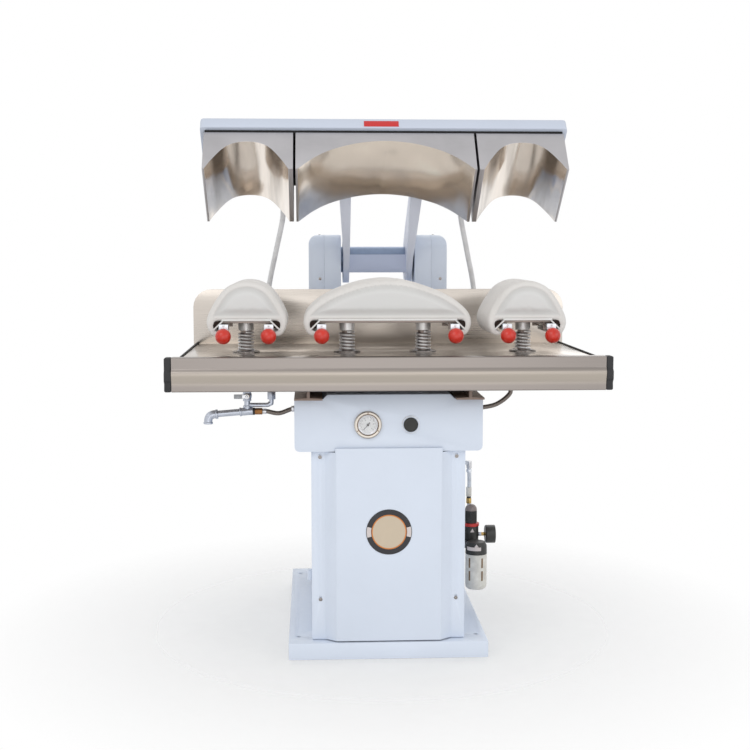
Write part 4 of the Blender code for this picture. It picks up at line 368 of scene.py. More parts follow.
# Painted shade: a darker copy of the pale enamel for the yoke's cross plate
PAINTED_SHADE_PLATE_ENAMEL = enamel("plate_enamel", (0.50, 0.56, 0.725))
SLEEVE_PALE = moulded("pale_tube", (0.70, 0.74, 0.80), 0.4)
ORANGE = printed("orange_ring", (0.62, 0.20, 0.03))
ZINC = machined("zinc_fittings", (0.50, 0.53, 0.60), 0.36, 500.0)
BRASS = machined("brass", (0.56, 0.38, 0.14), 0.30)
BRONZE = machined("heat_stained_brass", (0.28, 0.13, 0.05), 0.42)
RUBBER = moulded("black_rubber", (0.020, 0.020, 0.022), 0.62)
PLASTIC = moulded("black_plastic", (0.030, 0.030, 0.028), 0.40)
BOARD = moulded("heat_board", (0.007, 0.006, 0.006), 0.85, 0.8)
RED = lacquered("red_knob", (0.62, 0.018, 0.004))
RED_PLATE = printed("red_plate", (0.60, 0.025, 0.025))
RED_RING = moulded("red_ring", (0.60, 0.035, 0.03), 0.35)
COTTON = cotton("cover_cotton", (0.775, 0.755, 0.73))
COTTON_TAPE = cotton("cotton_tape", (0.86, 0.855, 0.84))
# Dark felt that also stands in for the shade inside the pads' hollow feet
SHADE_FELT = moulded("dark_felt", (0.018, 0.008, 0.005), 0.95, 0.9)
SLEEVE = sleeved("pale_sleeve", (0.78, 0.785, 0.80))
BRAID = braided("wire_braid", (0.135, 0.112, 0.098), (0.23, 0.20, 0.18))
DIAL = printed("dial_white", (0.86, 0.87, 0.88))
INK = printed("dial_ink", (0.05, 0.05, 0.06))
CREAM = printed("cream_plate", (0.66, 0.60, 0.585))
DARK_RIM = printed("dark_rim", (0.012, 0.012, 0.016))
BOWL = moulded("bowl_guard", (0.76, 0.742, 0.69), 0.45, 0.2)
SLOT_DARK = moulded("bowl_slot", (0.20, 0.125, 0.065), 0.5, 0.2)
NICKEL = machined("nickel_rim", (0.58, 0.535, 0.48), 0.36)
PALE_RING = moulded("pale_ring", (0.88, 0.89, 0.91), 0.4)
BUTTON_BLACK = moulded("button_black", (0.012, 0.012, 0.010), 0.5)
BROWN_INLAY = machined("brown_inlay", (0.27, 0.20, 0.15), 0.45)


def glass():
    """The gauge's window: clear, with a trace of fingermarks."""
    made = finish("window_glass", (1, 1, 1), 0.03, Transmission_Weight=1.0, IOR=1.45)
    feed(made, "Roughness", spread(made, noise(made, 90.0, 4.0), 0.01, 0.07, 0.4, 0.7))
    return made


GLASS = glass()


# Mesh helpers. Pieces are worked on a bench, a scene of its own that is removed at the end.

BENCH = bpy.data.scenes.new("bench")


def as_shown(shape):
    """A plain mesh of a bench object as its modifiers leave it."""
    layer = BENCH.view_layers[0]
    layer.update()
    return bpy.data.meshes.new_from_object(shape.evaluated_get(layer.depsgraph))


def worked(work, name="part"):
    mesh = bpy.data.meshes.new(name)
    work.to_mesh(mesh)
    work.free()
    return mesh


def reworked(mesh, change):
    """The same mesh after a change to it."""
    work = bmesh.new()
    work.from_mesh(mesh)
    change(work)
    work.to_mesh(mesh)
    work.free()
    return mesh


def mesh_of(shape):
    """A plain mesh of an object as its modifiers leave it. The object itself is removed."""
    BENCH.collection.objects.link(shape)
    mesh = as_shown(shape)
    bpy.data.objects.remove(shape)
    return reworked(mesh, lambda work: bmesh.ops.remove_doubles(work, verts=work.verts, dist=1e-6))


def outward(mesh):
    return reworked(mesh, lambda work: bmesh.ops.recalc_face_normals(work, faces=work.faces))


def block(low, high):
    work = bmesh.new()
    bmesh.ops.create_cube(work, size=1)
    low, high = Vector(low), Vector(high)
    bmesh.ops.scale(work, vec=high - low, verts=work.verts)
    bmesh.ops.translate(work, vec=(low + high) / 2, verts=work.verts)
    return worked(work)


def bar(start, end, radius, sides=32, end_radius=None):
    start, end = Vector(start), Vector(end)
    work = bmesh.new()
    bmesh.ops.create_cone(work, cap_ends=True, segments=sides, radius1=radius,
                          radius2=radius if end_radius is None else end_radius, depth=(end - start).length)
    turn = (end - start).to_track_quat("Z", "Y").to_matrix().to_4x4()
    mesh = worked(work)
    mesh.transform(Matrix.Translation((start + end) / 2) @ turn)
    return mesh


def rod(axis, at, start, end, radius, sides=32, bead=0.001, segments=2):
    """A bar along an axis, at a place in the plane across it, rounded at its ends unless the bead is zero."""
    ends = [[*at[:"XYZ".index(axis)], value, *at["XYZ".index(axis):]] for value in (start, end)]
    mesh = bar(*ends, radius, sides)
    return rounded(mesh, bead, segments) if bead else mesh


def turned(profile, centre, axis=(0, 0, 1), sides=64):
    """A form turned about an axis, from (radius, height) points that run down its outer side."""
    closed = profile[0][0] > 0
    work = bmesh.new()
    corners = [work.verts.new((radius, 0, height)) for radius, height in profile]
    for start, end in zip(corners, corners[1:] + (corners[:1] if closed else [])):
        work.edges.new((start, end))
    shape = bpy.data.objects.new("turned", worked(work))
    screw = shape.modifiers.new("turn", "SCREW")
    screw.steps = sides
    screw.render_steps = sides
    screw.use_merge_vertices = True
    screw.merge_threshold = 0.00001
    mesh = mesh_of(shape)
    turn = Vector(axis).to_track_quat("Z", "Y").to_matrix().to_4x4()
    mesh.transform(Matrix.Translation(centre) @ turn)
    return outward(mesh)


def outline(loops, plane, low, high):
    """A flat outline with its holes, as thick as low to high across its plane."""
    curve = bpy.data.curves.new("outline", "CURVE")
    curve.dimensions = "2D"
    curve.fill_mode = "BOTH"
    curve.extrude = (high - low) / 2
    for loop in loops:
        spline = curve.splines.new("POLY")
        spline.points.add(len(loop) - 1)
        for point, where in zip(spline.points, loop):
            point.co = (where[0], where[1], 0, 1)
        spline.use_cyclic_u = True
    mesh = mesh_of(bpy.data.objects.new("outline", curve))
    middle = (low + high) / 2
    mesh.transform(PLANES[plane] @ Matrix.Translation((0, 0, -middle if plane == "XZ" else middle)))
    return mesh


def rounded(mesh, width, segments=3, angle=35):
    """The same mesh with its sharp edges rounded."""
    shape = bpy.data.objects.new("rounded", mesh)
    bevel = shape.modifiers.new("round", "BEVEL")
    bevel.width = width
    bevel.segments = segments
    bevel.limit_method = "ANGLE"
    bevel.angle_limit = math.radians(angle)
    return mesh_of(shape)


def slab(low, high, bead, segments=3, angle=35):
    """A block with its edges rounded."""
    return rounded(block(low, high), bead, segments, angle)


def combined(mesh, other, operation):
    """A mesh cut by another, or cut down to what it shares with it."""
    target = bpy.data.objects.new("target", mesh)
    tool = bpy.data.objects.new("tool", other)
    BENCH.collection.objects.link(tool)
    change = target.modifiers.new("change", "BOOLEAN")
    change.operation = operation
    change.solver = "EXACT"
    change.object = tool
    made = mesh_of(target)
    bpy.data.objects.remove(tool)
    return made


def between(before, start, end, after, steps):
    """Points from start to just before end on a smooth curve past four points."""
    made = []
    for step in range(steps):
        t = step / steps
        cubic = 3 * start - before - 3 * end + after
        square = 2 * before - 5 * start + 4 * end - after
        made.append(0.5 * (2 * start + (end - before) * t + square * t ** 2 + cubic * t ** 3))
    return made


def smooth_through(points, steps):
    points = [Vector(point) for point in points]
    ends = [2 * points[0] - points[1]] + points + [2 * points[-1] - points[-2]]
    made = []
    for group in zip(ends, ends[1:], ends[2:], ends[3:]):
        made += between(*group, steps)
    return made + [points[-1]]


def route_through(points, steps=8):
    """A hose's route: straight over its first and last stretch, and smooth between them."""
    points = [Vector(point) for point in points]
    made = [points[0]]
    for group in zip(points, points[1:], points[2:], points[3:]):
        made += between(*group, steps)
    return made + points[-2:]


def swept(points, radius, sides=32):
    """A round tube along a route, closed at its ends, with a UV map round it and along it in metres."""
    points = [Vector(point) for point in points]
    work = bmesh.new()
    layer = work.loops.layers.uv.new("route")
    tangent = (points[1] - points[0]).normalized()
    across = tangent.orthogonal().normalized()
    rings = []
    run = 0.0
    for i, point in enumerate(points):
        ahead = points[min(i + 1, len(points) - 1)] - points[max(i - 1, 0)]
        ahead.normalize()
        across = (across - ahead * across.dot(ahead)).normalized()
        side = ahead.cross(across)
        if i:
            run += (point - points[i - 1]).length
        turns = [2 * math.pi * k / sides for k in range(sides)]
        ring = [work.verts.new(point + radius * (math.cos(turn) * across + math.sin(turn) * side))
                for turn in turns]
        rings.append((ring, run))
    girth = 2 * math.pi * radius
    for (near, near_run), (far, far_run) in zip(rings, rings[1:]):
        for k in range(sides):
            following = (k + 1) % sides
            face = work.faces.new((near[k], near[following], far[following], far[k]))
            for loop, (turn, run) in zip(face.loops, ((k, near_run), (k + 1, near_run), (k + 1, far_run),
                                                      (k, far_run))):
                loop[layer].uv = (girth * turn / sides, run)
    work.faces.new(list(reversed(rings[0][0])))
    work.faces.new(rings[-1][0])
    bmesh.ops.recalc_face_normals(work, faces=work.faces)
    return worked(work)


def loft(sections):
    """A skin through like sections, with its first and last sections filled."""
    work = bmesh.new()
    rings = [[work.verts.new(point) for point in section] for section in sections]
    for near, far in zip(rings, rings[1:]):
        for i, start in enumerate(near):
            following = (i + 1) % len(near)
            work.faces.new((start, near[following], far[following], far[i]))
    work.faces.new(rings[0])
    work.faces.new(rings[-1])
    return outward(worked(work))


def all_in(material, *meshes):
    """Parts of one finish."""
    return [(mesh, material) for mesh in meshes]


CORNER_MIDDLE_SHARE = 0.3


def corner(at, back, ahead, radius):
    """Three points that take a route round a corner, from the way back to the way ahead."""
    at, back, ahead = Vector(at), Vector(back), Vector(ahead)
    middle = at + (back + ahead) * radius * CORNER_MIDDLE_SHARE
    return [at + back * radius, middle, at + ahead * radius]


def gathered(name, parts, smooth=35):
    """One object from (mesh, material) parts, with its flat faces sharp and its round ones smooth."""
    materials = []
    work = bmesh.new()
    for mesh, material in parts:
        if material not in materials:
            materials.append(material)
        start = len(work.faces)
        work.from_mesh(mesh)
        work.faces.ensure_lookup_table()
        for face in work.faces[start:]:
            face.material_index = materials.index(material)
    mesh = worked(work, name)
    for material in materials:
        mesh.materials.append(material)
    mesh.shade_smooth()
    mesh.set_sharp_from_angle(angle=math.radians(smooth))
    made = bpy.data.objects.new(name, mesh)
    bpy.context.scene.collection.objects.link(made)
    return made


def show(name, body, slot, parts, replaced=(), smooth=35):
    """A piece that rides on a body, and stands for the CAD nodes that it replaces."""
    made = gathered(name, parts, smooth)
    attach(made, body)
    if replaced:
        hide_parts(*replaced)
    return made


def merge_flats(work):
    """Join the points that meet, and the flat faces that lie in one plane."""
    bmesh.ops.remove_doubles(work, verts=work.verts, dist=2e-6)
    bmesh.ops.dissolve_limit(work, angle_limit=math.radians(0.5), verts=work.verts, edges=work.edges,
                             delimit={"NORMAL"})


def node_mesh(name):
    """A merged copy of a CAD node's mesh."""
    mesh = reworked(frame["nodes"][name].data.copy(), merge_flats)
    mesh.materials.clear()
    return mesh


def body_of(name):
    for body, members in frame["record"]["behaviour"]["bodies"].items():
        if name in members:
            return body


def slot_of(name):
    for entry in frame["record"]["subparts"]:
        if entry["node"] == name:
            return entry["material_slot"]


def stand_in(node, parts, smooth=35):
    """A piece that stands for one CAD node, on its body."""
    return show(node + "_shown", body_of(node), slot_of(node), parts, (node,), smooth)


def bent(name, part, node):
    """A piece that runs between two bodies, from its end on one to its end on the other; it stays fixed as it was
    made and rides on neither.
    """
    made = gathered(name, [part], 60)
    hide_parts(node)
    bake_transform(made)


def dressed(name, material, edge=0.0007):
    """A CAD node shown with its edges softly broken, in its finish."""
    mesh = node_mesh(name)
    if edge:
        mesh = rounded(mesh, edge, 2)
    return stand_in(name, [(mesh, material)])


# Trees that repeat small parts

HUB = 0.0001  # parts in a ring stand on a circle this small and hold their own distance from its middle


def tree_with(name, inputs):
    """An empty geometry tree with its named inputs, its group nodes, and its one output."""
    tree = bpy.data.node_groups.new(name, "GeometryNodeTree")
    for label, kind in inputs.items():
        tree.interface.new_socket(label, in_out="INPUT", socket_type="NodeSocket" + kind)
    tree.interface.new_socket("Geometry", in_out="OUTPUT", socket_type="NodeSocketGeometry")
    return tree, tree.nodes.new("NodeGroupInput").outputs, tree.nodes.new("NodeGroupOutput")


def finished(tree, geometry, inside, group_out):
    real = put(tree, "GeometryNodeRealizeInstances", {"Geometry": geometry})
    coloured = put(tree, "GeometryNodeSetMaterial", {"Geometry": real.outputs[0],
                                                     "Material": inside["Material"]})
    tree.links.new(coloured.outputs[0], group_out.inputs[0])
    return tree


def set_out(tree, points, part, turn):
    """A part on each point, with a turn."""
    source = put(tree, "GeometryNodeObjectInfo", {"Object": part})
    return put(tree, "GeometryNodeInstanceOnPoints", {
        "Points": points, "Instance": source.outputs["Geometry"], "Rotation": turn.outputs[0]}).outputs[0]


def facing_tree():
    """Repeats an item on points, each turned to the direction stored on its point."""
    tree, inside, outside = tree_with("items_on_points", {"Points": "Geometry", "Item": "Object",
                                                          "Material": "Material"})
    facing = put(tree, "GeometryNodeInputNamedAttribute", {"Name": "facing"}, data_type="FLOAT_VECTOR")
    turn = put(tree, "FunctionNodeAlignRotationToVector", {"Vector": facing.outputs["Attribute"]}, axis="Z")
    return finished(tree, set_out(tree, inside["Points"], inside["Item"], turn), inside, outside)


def ring_tree():
    """Repeats an item round a circle or an arc, facing out."""
    tree, inside, outside = tree_with("items_in_a_ring", {
        "Geometry": "Geometry", "Item": "Object", "Count": "Int", "Start": "Float", "Sweep": "Float",
        "Material": "Material"})
    line = put(tree, "GeometryNodeCurveArc", {
        "Resolution": inside["Count"], "Radius": HUB, "Start Angle": inside["Start"],
        "Sweep Angle": inside["Sweep"]}, mode="RADIUS")
    points = put(tree, "GeometryNodeCurveToPoints", {"Curve": line.outputs["Curve"]}, mode="EVALUATED")
    where = put(tree, "GeometryNodeInputPosition")
    turn = put(tree, "FunctionNodeAlignRotationToVector", {"Vector": where.outputs[0]}, axis="X",
               pivot_axis="Z")
    return finished(tree, set_out(tree, points.outputs["Points"], inside["Item"], turn), inside, outside)


def spring_tree():
    """A coil spring: a spiral of wire."""
    tree, inside, outside = tree_with("coil_spring", {
        "Geometry": "Geometry", "Wire": "Float", "Radius": "Float", "Turns": "Float", "Height": "Float",
        "Material": "Material"})
    coil = put(tree, "GeometryNodeCurveSpiral", {
        "Resolution": 40, "Rotations": inside["Turns"], "Start Radius": inside["Radius"],
        "End Radius": inside["Radius"], "Height": inside["Height"]})
    wire = put(tree, "GeometryNodeCurvePrimitiveCircle", {"Resolution": 14, "Radius": inside["Wire"]})
    skin = put(tree, "GeometryNodeCurveToMesh", {
        "Curve": coil.outputs[0], "Profile Curve": wire.outputs["Curve"], "Fill Caps": True})
    smooth = put(tree, "GeometryNodeSetShadeSmooth", {"Geometry": skin.outputs[0]})
    return finished(tree, smooth.outputs[0], inside, outside)


ON_POINTS = facing_tree()
IN_A_RING = ring_tree()
COIL = spring_tree()


def grown(tree, values, base=None):
    """The mesh that a tree makes on a base mesh, with values for the tree's named inputs."""
    shape = bpy.data.objects.new("grown", base or bpy.data.meshes.new("empty"))
    change = shape.modifiers.new("grow", "NODES")
    change.node_group = tree
    for entry in tree.interface.items_tree:
        if entry.in_out == "INPUT" and entry.name in values:
            change[entry.identifier] = values[entry.name]
    BENCH.collection.objects.link(shape)
    mesh = as_shown(shape)
    bpy.data.objects.remove(shape)
    return mesh


def repeated_by(tree, mesh, values, base=None):
    """What a tree makes of a small part that it repeats."""
    source = bpy.data.objects.new("item", mesh)
    BENCH.collection.objects.link(source)
    made = grown(tree, {"Item": source, **values}, base)
    bpy.data.objects.remove(source)
    return made


def repeated(mesh, spots, material):
    """A small part on each (place, direction) spot."""
    work = bmesh.new()
    for where, _ in spots:
        work.verts.new(where)
    base = worked(work)
    facing = base.attributes.new("facing", "FLOAT_VECTOR", "POINT")
    for entry, (_, direction) in zip(facing.data, spots):
        entry.vector = Vector(direction)
    return repeated_by(ON_POINTS, mesh, {"Material": material}, base)


def ringed(mesh, count, start, sweep, material):
    """A small part repeated round an arc in the XY plane, in degrees. A full ring leaves its seam free."""
    turn = sweep - sweep / count if abs(sweep) >= 360 else sweep
    return repeated_by(IN_A_RING, mesh, {"Count": count, "Start": math.radians(start),
                                         "Sweep": math.radians(turn), "Material": material})


def screw_head(radius, height):
    """A round head with a hexagon socket and a thin washer, facing +Z from its seat at zero."""
    washer, thin = radius * 1.45, 0.0008
    dome = turned([(0, height), (radius * 0.55, height), (radius * 0.85, height * 0.8),
                   (radius, height * 0.35), (radius, thin), (washer, thin), (washer, 0), (0, 0)],
                  (0, 0, 0), sides=20)
    socket = bar((0, 0, height * 0.35), (0, 0, height * 2), radius * 0.45, 6)
    return combined(dome, socket, "DIFFERENCE")


# Room, light and camera

LAMPS = {  # place, aim, size and power
    "key": ((-2.0, -3.0, 3.4), (0, 0, 0.8), 2.6, 34.0),
    "fill": ((2.6, -2.4, 1.7), (0, 0, 0.8), 2.2, 15.0),
    "front": ((0.0, -4.2, 0.7), (0, 0, 0.6), 2.6, 18.0),
    "back": ((0.6, 2.8, 2.6), (0, 0, 0.9), 2.4, 14.0),
}
ROOM_LIGHT = 0.70
FADE_LEAST, FADE_START, FADE_END = 0.60, 0.42, 1.25
LENS, SENSOR = 60.48, 36
CAMERA_PLACE = (-0.214, -3.83, 1.157)
CAMERA_TILT, CAMERA_TURN = 84.17, -2.90


def make_surround():
    """A white surround that lights the machine less than it shows."""
    world = bpy.data.worlds.new("studio")
    bpy.context.scene.world = world
    world.use_nodes = True
    tree = world.node_tree
    rays = put(tree, "ShaderNodeLightPath").outputs
    seen = put(tree, "ShaderNodeMath", {0: rays["Is Camera Ray"], 1: rays["Is Transmission Ray"]},
               operation="MAXIMUM").outputs[0]
    shown = put(tree, "ShaderNodeMath", {0: seen, 1: rays["Is Glossy Ray"]}, operation="MAXIMUM").outputs[0]
    strength = put(tree, "ShaderNodeMapRange", {"Value": shown, "To Min": ROOM_LIGHT, "To Max": 1.0})
    background = tree.nodes["Background"]
    background.inputs["Color"].default_value = (1, 1, 1, 1)
    tree.links.new(strength.outputs["Result"], background.inputs["Strength"])


def make_lamps():
    for name, (where, aim, size, power) in LAMPS.items():
        lamp = bpy.data.lights.new(name, "AREA")
        lamp.size = size
        lamp.energy = power
        made = bpy.data.objects.new(name, lamp)
        made.location = where
        made.rotation_euler = (Vector(aim) - Vector(where)).to_track_quat("-Z", "Y").to_euler()
        bpy.context.scene.collection.objects.link(made)


FLOOR_HALF, FLOOR_TOP, FLOOR_BOTTOM = 3, -0.0005, -0.012


def make_floor():
    """A pale floor that fades out round the machine."""
    made = finish("pale_floor", (0.90, 0.90, 0.90), 0.7)
    shades(made, noise(made, 14.0, 4.0), (1, 1, 1), (0.3, 0.885), (0.7, 0.91))
    coordinates = add(made, "ShaderNodeTexCoord")
    reach = add(made, "ShaderNodeVectorMath", {0: coordinates.outputs["Object"]}, operation="LENGTH")
    fade = spread(made, reach.outputs["Value"], FADE_LEAST, 1.0, FADE_START, FADE_END)
    nodes = made.node_tree.nodes
    both = add(made, "ShaderNodeMixShader", {0: fade, 1: nodes["Principled BSDF"].outputs[0],
                                             2: add(made, "ShaderNodeBsdfTransparent").outputs[0]})
    made.node_tree.links.new(both.outputs[0], nodes["Material Output"].inputs["Surface"])
    slab_mesh = block((-FLOOR_HALF, -FLOOR_HALF, FLOOR_BOTTOM), (FLOOR_HALF, FLOOR_HALF, FLOOR_TOP))
    gathered("floor", [(slab_mesh, made)])


def make_camera():
    lens = bpy.data.cameras.new("photo_camera")
    lens.lens = LENS
    lens.sensor_width = SENSOR
    camera = bpy.data.objects.new("photo_camera", lens)
    camera.location = CAMERA_PLACE
    camera.rotation_euler = (math.radians(CAMERA_TILT), 0, math.radians(CAMERA_TURN))
    bpy.context.scene.collection.objects.link(camera)
    bpy.context.scene.camera = camera
    bpy.context.scene.view_settings.view_transform = "Standard"


# Sheet metal: base, cabinet, covers, table and bar

FRONT, BACK, UP, DOWN = Vector((0, -1, 0)), Vector((0, 1, 0)), Vector((0, 0, 1)), Vector((0, 0, -1))
SEATED = 0.0001  # how deep a screw or the medallion sits in what holds it
TOWER_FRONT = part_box("housing_cover_left")[0].y
TOWER_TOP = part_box("housing_cover_left")[1].z
TOWER_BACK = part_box("cabinet")[1].y
COVER_SCREWS = [((x, COVER_FLANGE - SEATED, z), FRONT) for x in (-0.1915, 0.1915) for z in (0.166, 0.572)]
BACK_SCREWS = [((x, TOWER_BACK + SEATED, z), BACK) for x in (-0.195, 0.195) for z in (0.12, 0.50, 0.88)]
HOUSING_SCREWS = [((x, TOWER_FRONT + SEATED, 1.054), FRONT) for x in (-0.1850, 0.2002)]
HOUSING_SCREWS += [((x, 0.300, TOWER_TOP - SEATED), UP) for x in (-0.1857, 0.1845)]
BOX_SCREWS = [((-0.232, BOX_FRONT + 0.012, 0.732), FRONT), ((0.248, BOX_FRONT + 0.012, 0.735), FRONT)]
YOKE_PLATE_HALF = 0.06
BAR_NOSE, BAR_CORNER, BAR_WALL = 0.006, 0.003, 0.003
BAR_BAND_DROP, BAR_BAND_HEIGHT = 0.0315, 0.0355
TRIM_SETBACK, TRIM_IN, TRIM_RISE = 0.0005, 0.0060, 0.0042


def screws(name, spots, radius, material):
    """Round-headed screws on (place, direction) spots of the frame."""
    mesh = repeated(screw_head(radius, radius * 0.6), spots, material)
    return show(name, "frame", "steel", [(mesh, material)])


def bulge(z, top, bottom):
    """How far the bar's band stands out at a height, from 0 to 1: quick at its top edge and slow below."""
    return eased(z, bottom - 0.006, bottom + 0.024) * (1 - eased(z, top - 0.009, top + 0.003))


def make_bar():
    """The front bar: a brushed extrusion with a soft bulge along its middle."""
    low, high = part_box("front_bar")
    band_top = high.z - BAR_BAND_DROP
    band_bottom = band_top - BAR_BAND_HEIGHT
    count = 60
    span = high.z - low.z - 2 * BAR_CORNER
    front = [(low.y + BAR_NOSE * (1 - bulge(z, band_top, band_bottom)), z)
             for z in (low.z + BAR_CORNER + span * i / count for i in range(count + 1))]
    bottom_turn = [(low.y + BAR_NOSE + BAR_CORNER * (1 - math.sin(turn)),
                    low.z + BAR_CORNER * (1 - math.cos(turn)))
                   for turn in (math.pi / 2 * i / 5 for i in range(5))]
    top_turn = [(y, low.z + high.z - z) for y, z in reversed(bottom_turn)]
    shell = [(high.y, low.z), *bottom_turn, *front, *top_turn, (high.y, high.z)]
    inner, outer = low.y + BAR_NOSE + BAR_WALL, high.y - BAR_WALL
    bottom, top = low.z + BAR_WALL, high.z - BAR_WALL
    hollow = [(outer, bottom), (inner, bottom), (inner, top), (outer, top)]
    mesh = outline([shell, hollow], "YZ", low.x, high.x)
    stand_in("front_bar", [(mesh, BAR_STEEL)])


def make_sheet_metal():
    for name in ("base", "cabinet", "front_cover", "control_box", "housing_left", "housing_right",
                 "housing_cover_left", "housing_cover_right"):
        dressed(name, ENAMEL)
    dressed("table_top", TABLE_STEEL, 0.0006)
    dressed("table_subframe", PAINTED_SHADE_SUBFRAME_ENAMEL, 0.0005)
    dressed("back_panel", PANEL_STEEL, 0.0006)
    make_bar()
    for name in ("bar_cap_left", "bar_cap_right"):
        dressed(name, RUBBER, 0.001)
    yoke = dressed("head_yoke", PAINTED_LIGHT_ARM_ENAMEL, 0.0012)
    # Painted shade on the cross plate between the arms
    yoke.data.materials.append(PAINTED_SHADE_PLATE_ENAMEL)
    for face in yoke.data.polygons:
        if abs(face.center.x) < YOKE_PLATE_HALF:
            face.material_index = 1
    dressed("head_beam", ENAMEL, 0.001)
    dressed("insulation_board", BOARD, 0.0008)
    dressed("head_cover", PAINTED_SHADE_HOOD_ENAMEL, 0.0006)
    screws("cover_screws", COVER_SCREWS, 0.0036, SHAFT_DULL)
    screws("back_screws", BACK_SCREWS, 0.0036, STEEL)
    screws("housing_screws", HOUSING_SCREWS, 0.0034, SHAFT_DULL)
    low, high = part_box("table_top")
    for side, name in ((-1, "left"), (1, "right")):
        inner, outer = sorted((side * (high.x - TRIM_IN), side * (high.x - TRIM_SETBACK)))
        trim = slab((inner, low.y + 0.002, high.z - 0.0002),
                    (outer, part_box("back_panel")[0].y - TRIM_SETBACK, high.z + TRIM_RISE), 0.0014)
        show("table_trim_" + name, "frame", "rubber", [(trim, RUBBER)])
    hinge = slab((-0.2290, -0.262, 0.197), (-0.2163, -0.236, 0.225), 0.002)
    show("side_hinge", "frame", "paint", [(hinge, ENAMEL)])
    screws("box_screws", BOX_SCREWS, 0.0028, STEEL)


# Padding. An arch is a table of (share of its half width, share of its rise).

BUCK_Y = -0.185
PAD_FRONT = BUCK_Y - 0.135
PAD_DEPTH = 0.270
PAD_RIM = 0.018
PAD_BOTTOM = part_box("buck_left")[1].z + 0.0003
PAD_WAIST = PAD_BOTTOM - 0.0108
PAD_INSET, PAD_SWELL, PAD_VOXEL = 0.0022, 0.0024, 0.0045
FACE_FOOT = 0.9635
SEAM_IN, SEAM_DRAW, PANEL_RISE = 0.016, 0.0032, 0.0012
CUFF_X = 0.3935
LOBE_DROP = 0.0445
LOBE_REACH = 0.0405
LOBE_SHARES = ((0.11, 0.584), (0.383, 0.921), (0.728, 1.0), (0.97, 0.93), (0.99, 0.77), (0.704, 0.697),
               (0.481, 0.54), (0.407, 0.315), (0.481, 0.067), (0.58, 0.0))
CUFF_PAD_SHARES = ((0.0, 1.0), (0.22, 0.975), (0.437, 0.888), (0.58, 0.781), (0.71, 0.624), (0.83, 0.446),
                   (0.93, 0.264), (0.985, 0.124), (1.0, 0.0))
COLLAR_PAD_SHARES = ((0.0, 1.0), (0.25, 0.95), (0.46, 0.844), (0.65, 0.699), (0.80, 0.535), (0.90, 0.382),
                     (0.965, 0.24), (0.993, 0.1), (1.0, 0.0))
CUFF_RISE, COLLAR_RISE = 0.121, 0.1255
# Name, middle, half width, rise and arch of each pad
PADS = (("left", -CUFF_X, 0.1135, CUFF_RISE, CUFF_PAD_SHARES),
        ("collar", 0.0, 0.2385, COLLAR_RISE, COLLAR_PAD_SHARES),
        ("right", CUFF_X, 0.1135, CUFF_RISE, CUFF_PAD_SHARES))


def arch(shares, half, rise, steps=3):
    """A symmetrical arch from its right foot over the crown to its left foot, from a table of shares."""
    side = [(-x, 0, z) for x, z in reversed(shares)] + [(x, 0, z) for x, z in shares[1:]]
    return [(-point.x * half, point.z * rise) for point in smooth_through(side, steps)]


def pad_section(centre, half, rise, shares, y, draw):
    """A pad's section at a depth, drawn in near its front and back faces."""
    ease = draw * 0.35
    waist = half - ease
    points = []
    for x, z in arch(shares, 1, 1, 5):
        inward = ease + (draw - ease) * min(1, max(0, z) / 0.333)
        points.append((x * (half - inward), PAD_WAIST + z * (rise - draw)))
    lobe = [(waist - point.x * (LOBE_REACH - ease), PAD_BOTTOM - point.z * (LOBE_DROP - ease / 2))
            for point in smooth_through([(u, 0, v) for u, v in LOBE_SHARES], 3)]
    return [(centre + x, y, z) for x, z in points + [(-x, z) for x, z in lobe] + list(reversed(lobe))]


def pad_form(centre, half, rise, shares):
    """The pad's skin, inset a little all over to leave room for its swelling."""
    half, rise = half - PAD_INSET, rise - PAD_INSET
    front, depth = PAD_FRONT + PAD_INSET, PAD_DEPTH - 2 * PAD_INSET
    turns = [math.pi / 2 * i / 6 for i in range(7)]
    ends = [(front + PAD_RIM * (1 - math.cos(turn)), PAD_RIM * (1 - math.sin(turn))) for turn in turns]
    middle = 2 * front + depth
    sections = ends + [(middle - y, draw) for y, draw in reversed(ends)]
    return loft([pad_section(centre, half, rise, shares, y, draw) for y, draw in sections])


def simulated(shape, even):
    """Swell an even skin by its pressure, with no point moved further than a cap."""
    before = [vert.co.copy() for vert in even.vertices]
    cloth = shape.modifiers.new("swell", "CLOTH")
    cloth.settings.quality = 6
    cloth.settings.mass = 0.4
    cloth.settings.tension_stiffness = 25
    cloth.settings.bending_stiffness = 2
    cloth.settings.use_pressure = True
    cloth.settings.uniform_pressure_force = 4
    cloth.settings.effector_weights.gravity = 0
    last = 20
    cloth.point_cache.frame_start = 1
    cloth.point_cache.frame_end = last
    for step in range(1, last + 1):
        BENCH.frame_set(step)
    swelled = shape.evaluated_get(BENCH.view_layers[0].depsgraph).data
    for vert, start, end in zip(even.vertices, before, swelled.vertices):
        move = end.co - start
        if move.length > PAD_SWELL:
            move *= PAD_SWELL / move.length
        vert.co = start + move
    shape.modifiers.clear()
    BENCH.frame_set(1)


def swollen(mesh):
    """A closed skin made even, swelled by a cloth simulation, and made finer."""
    shape = bpy.data.objects.new("swelling", mesh)
    BENCH.collection.objects.link(shape)
    remesh = shape.modifiers.new("even", "REMESH")
    remesh.mode = "VOXEL"
    remesh.voxel_size = PAD_VOXEL
    even = as_shown(shape)
    shape.modifiers.clear()
    shape.data = even
    simulated(shape, even)
    finer = shape.modifiers.new("finer", "SUBSURF")
    finer.levels = 1
    finer.render_levels = 1
    made = as_shown(shape)
    bpy.data.objects.remove(shape)
    return made


def eased(value, start, end):
    """A smooth step from 0 at the start to 1 at the end."""
    t = min(1.0, max(0.0, (value - start) / (end - start)))
    return t * t * (3 - 2 * t)


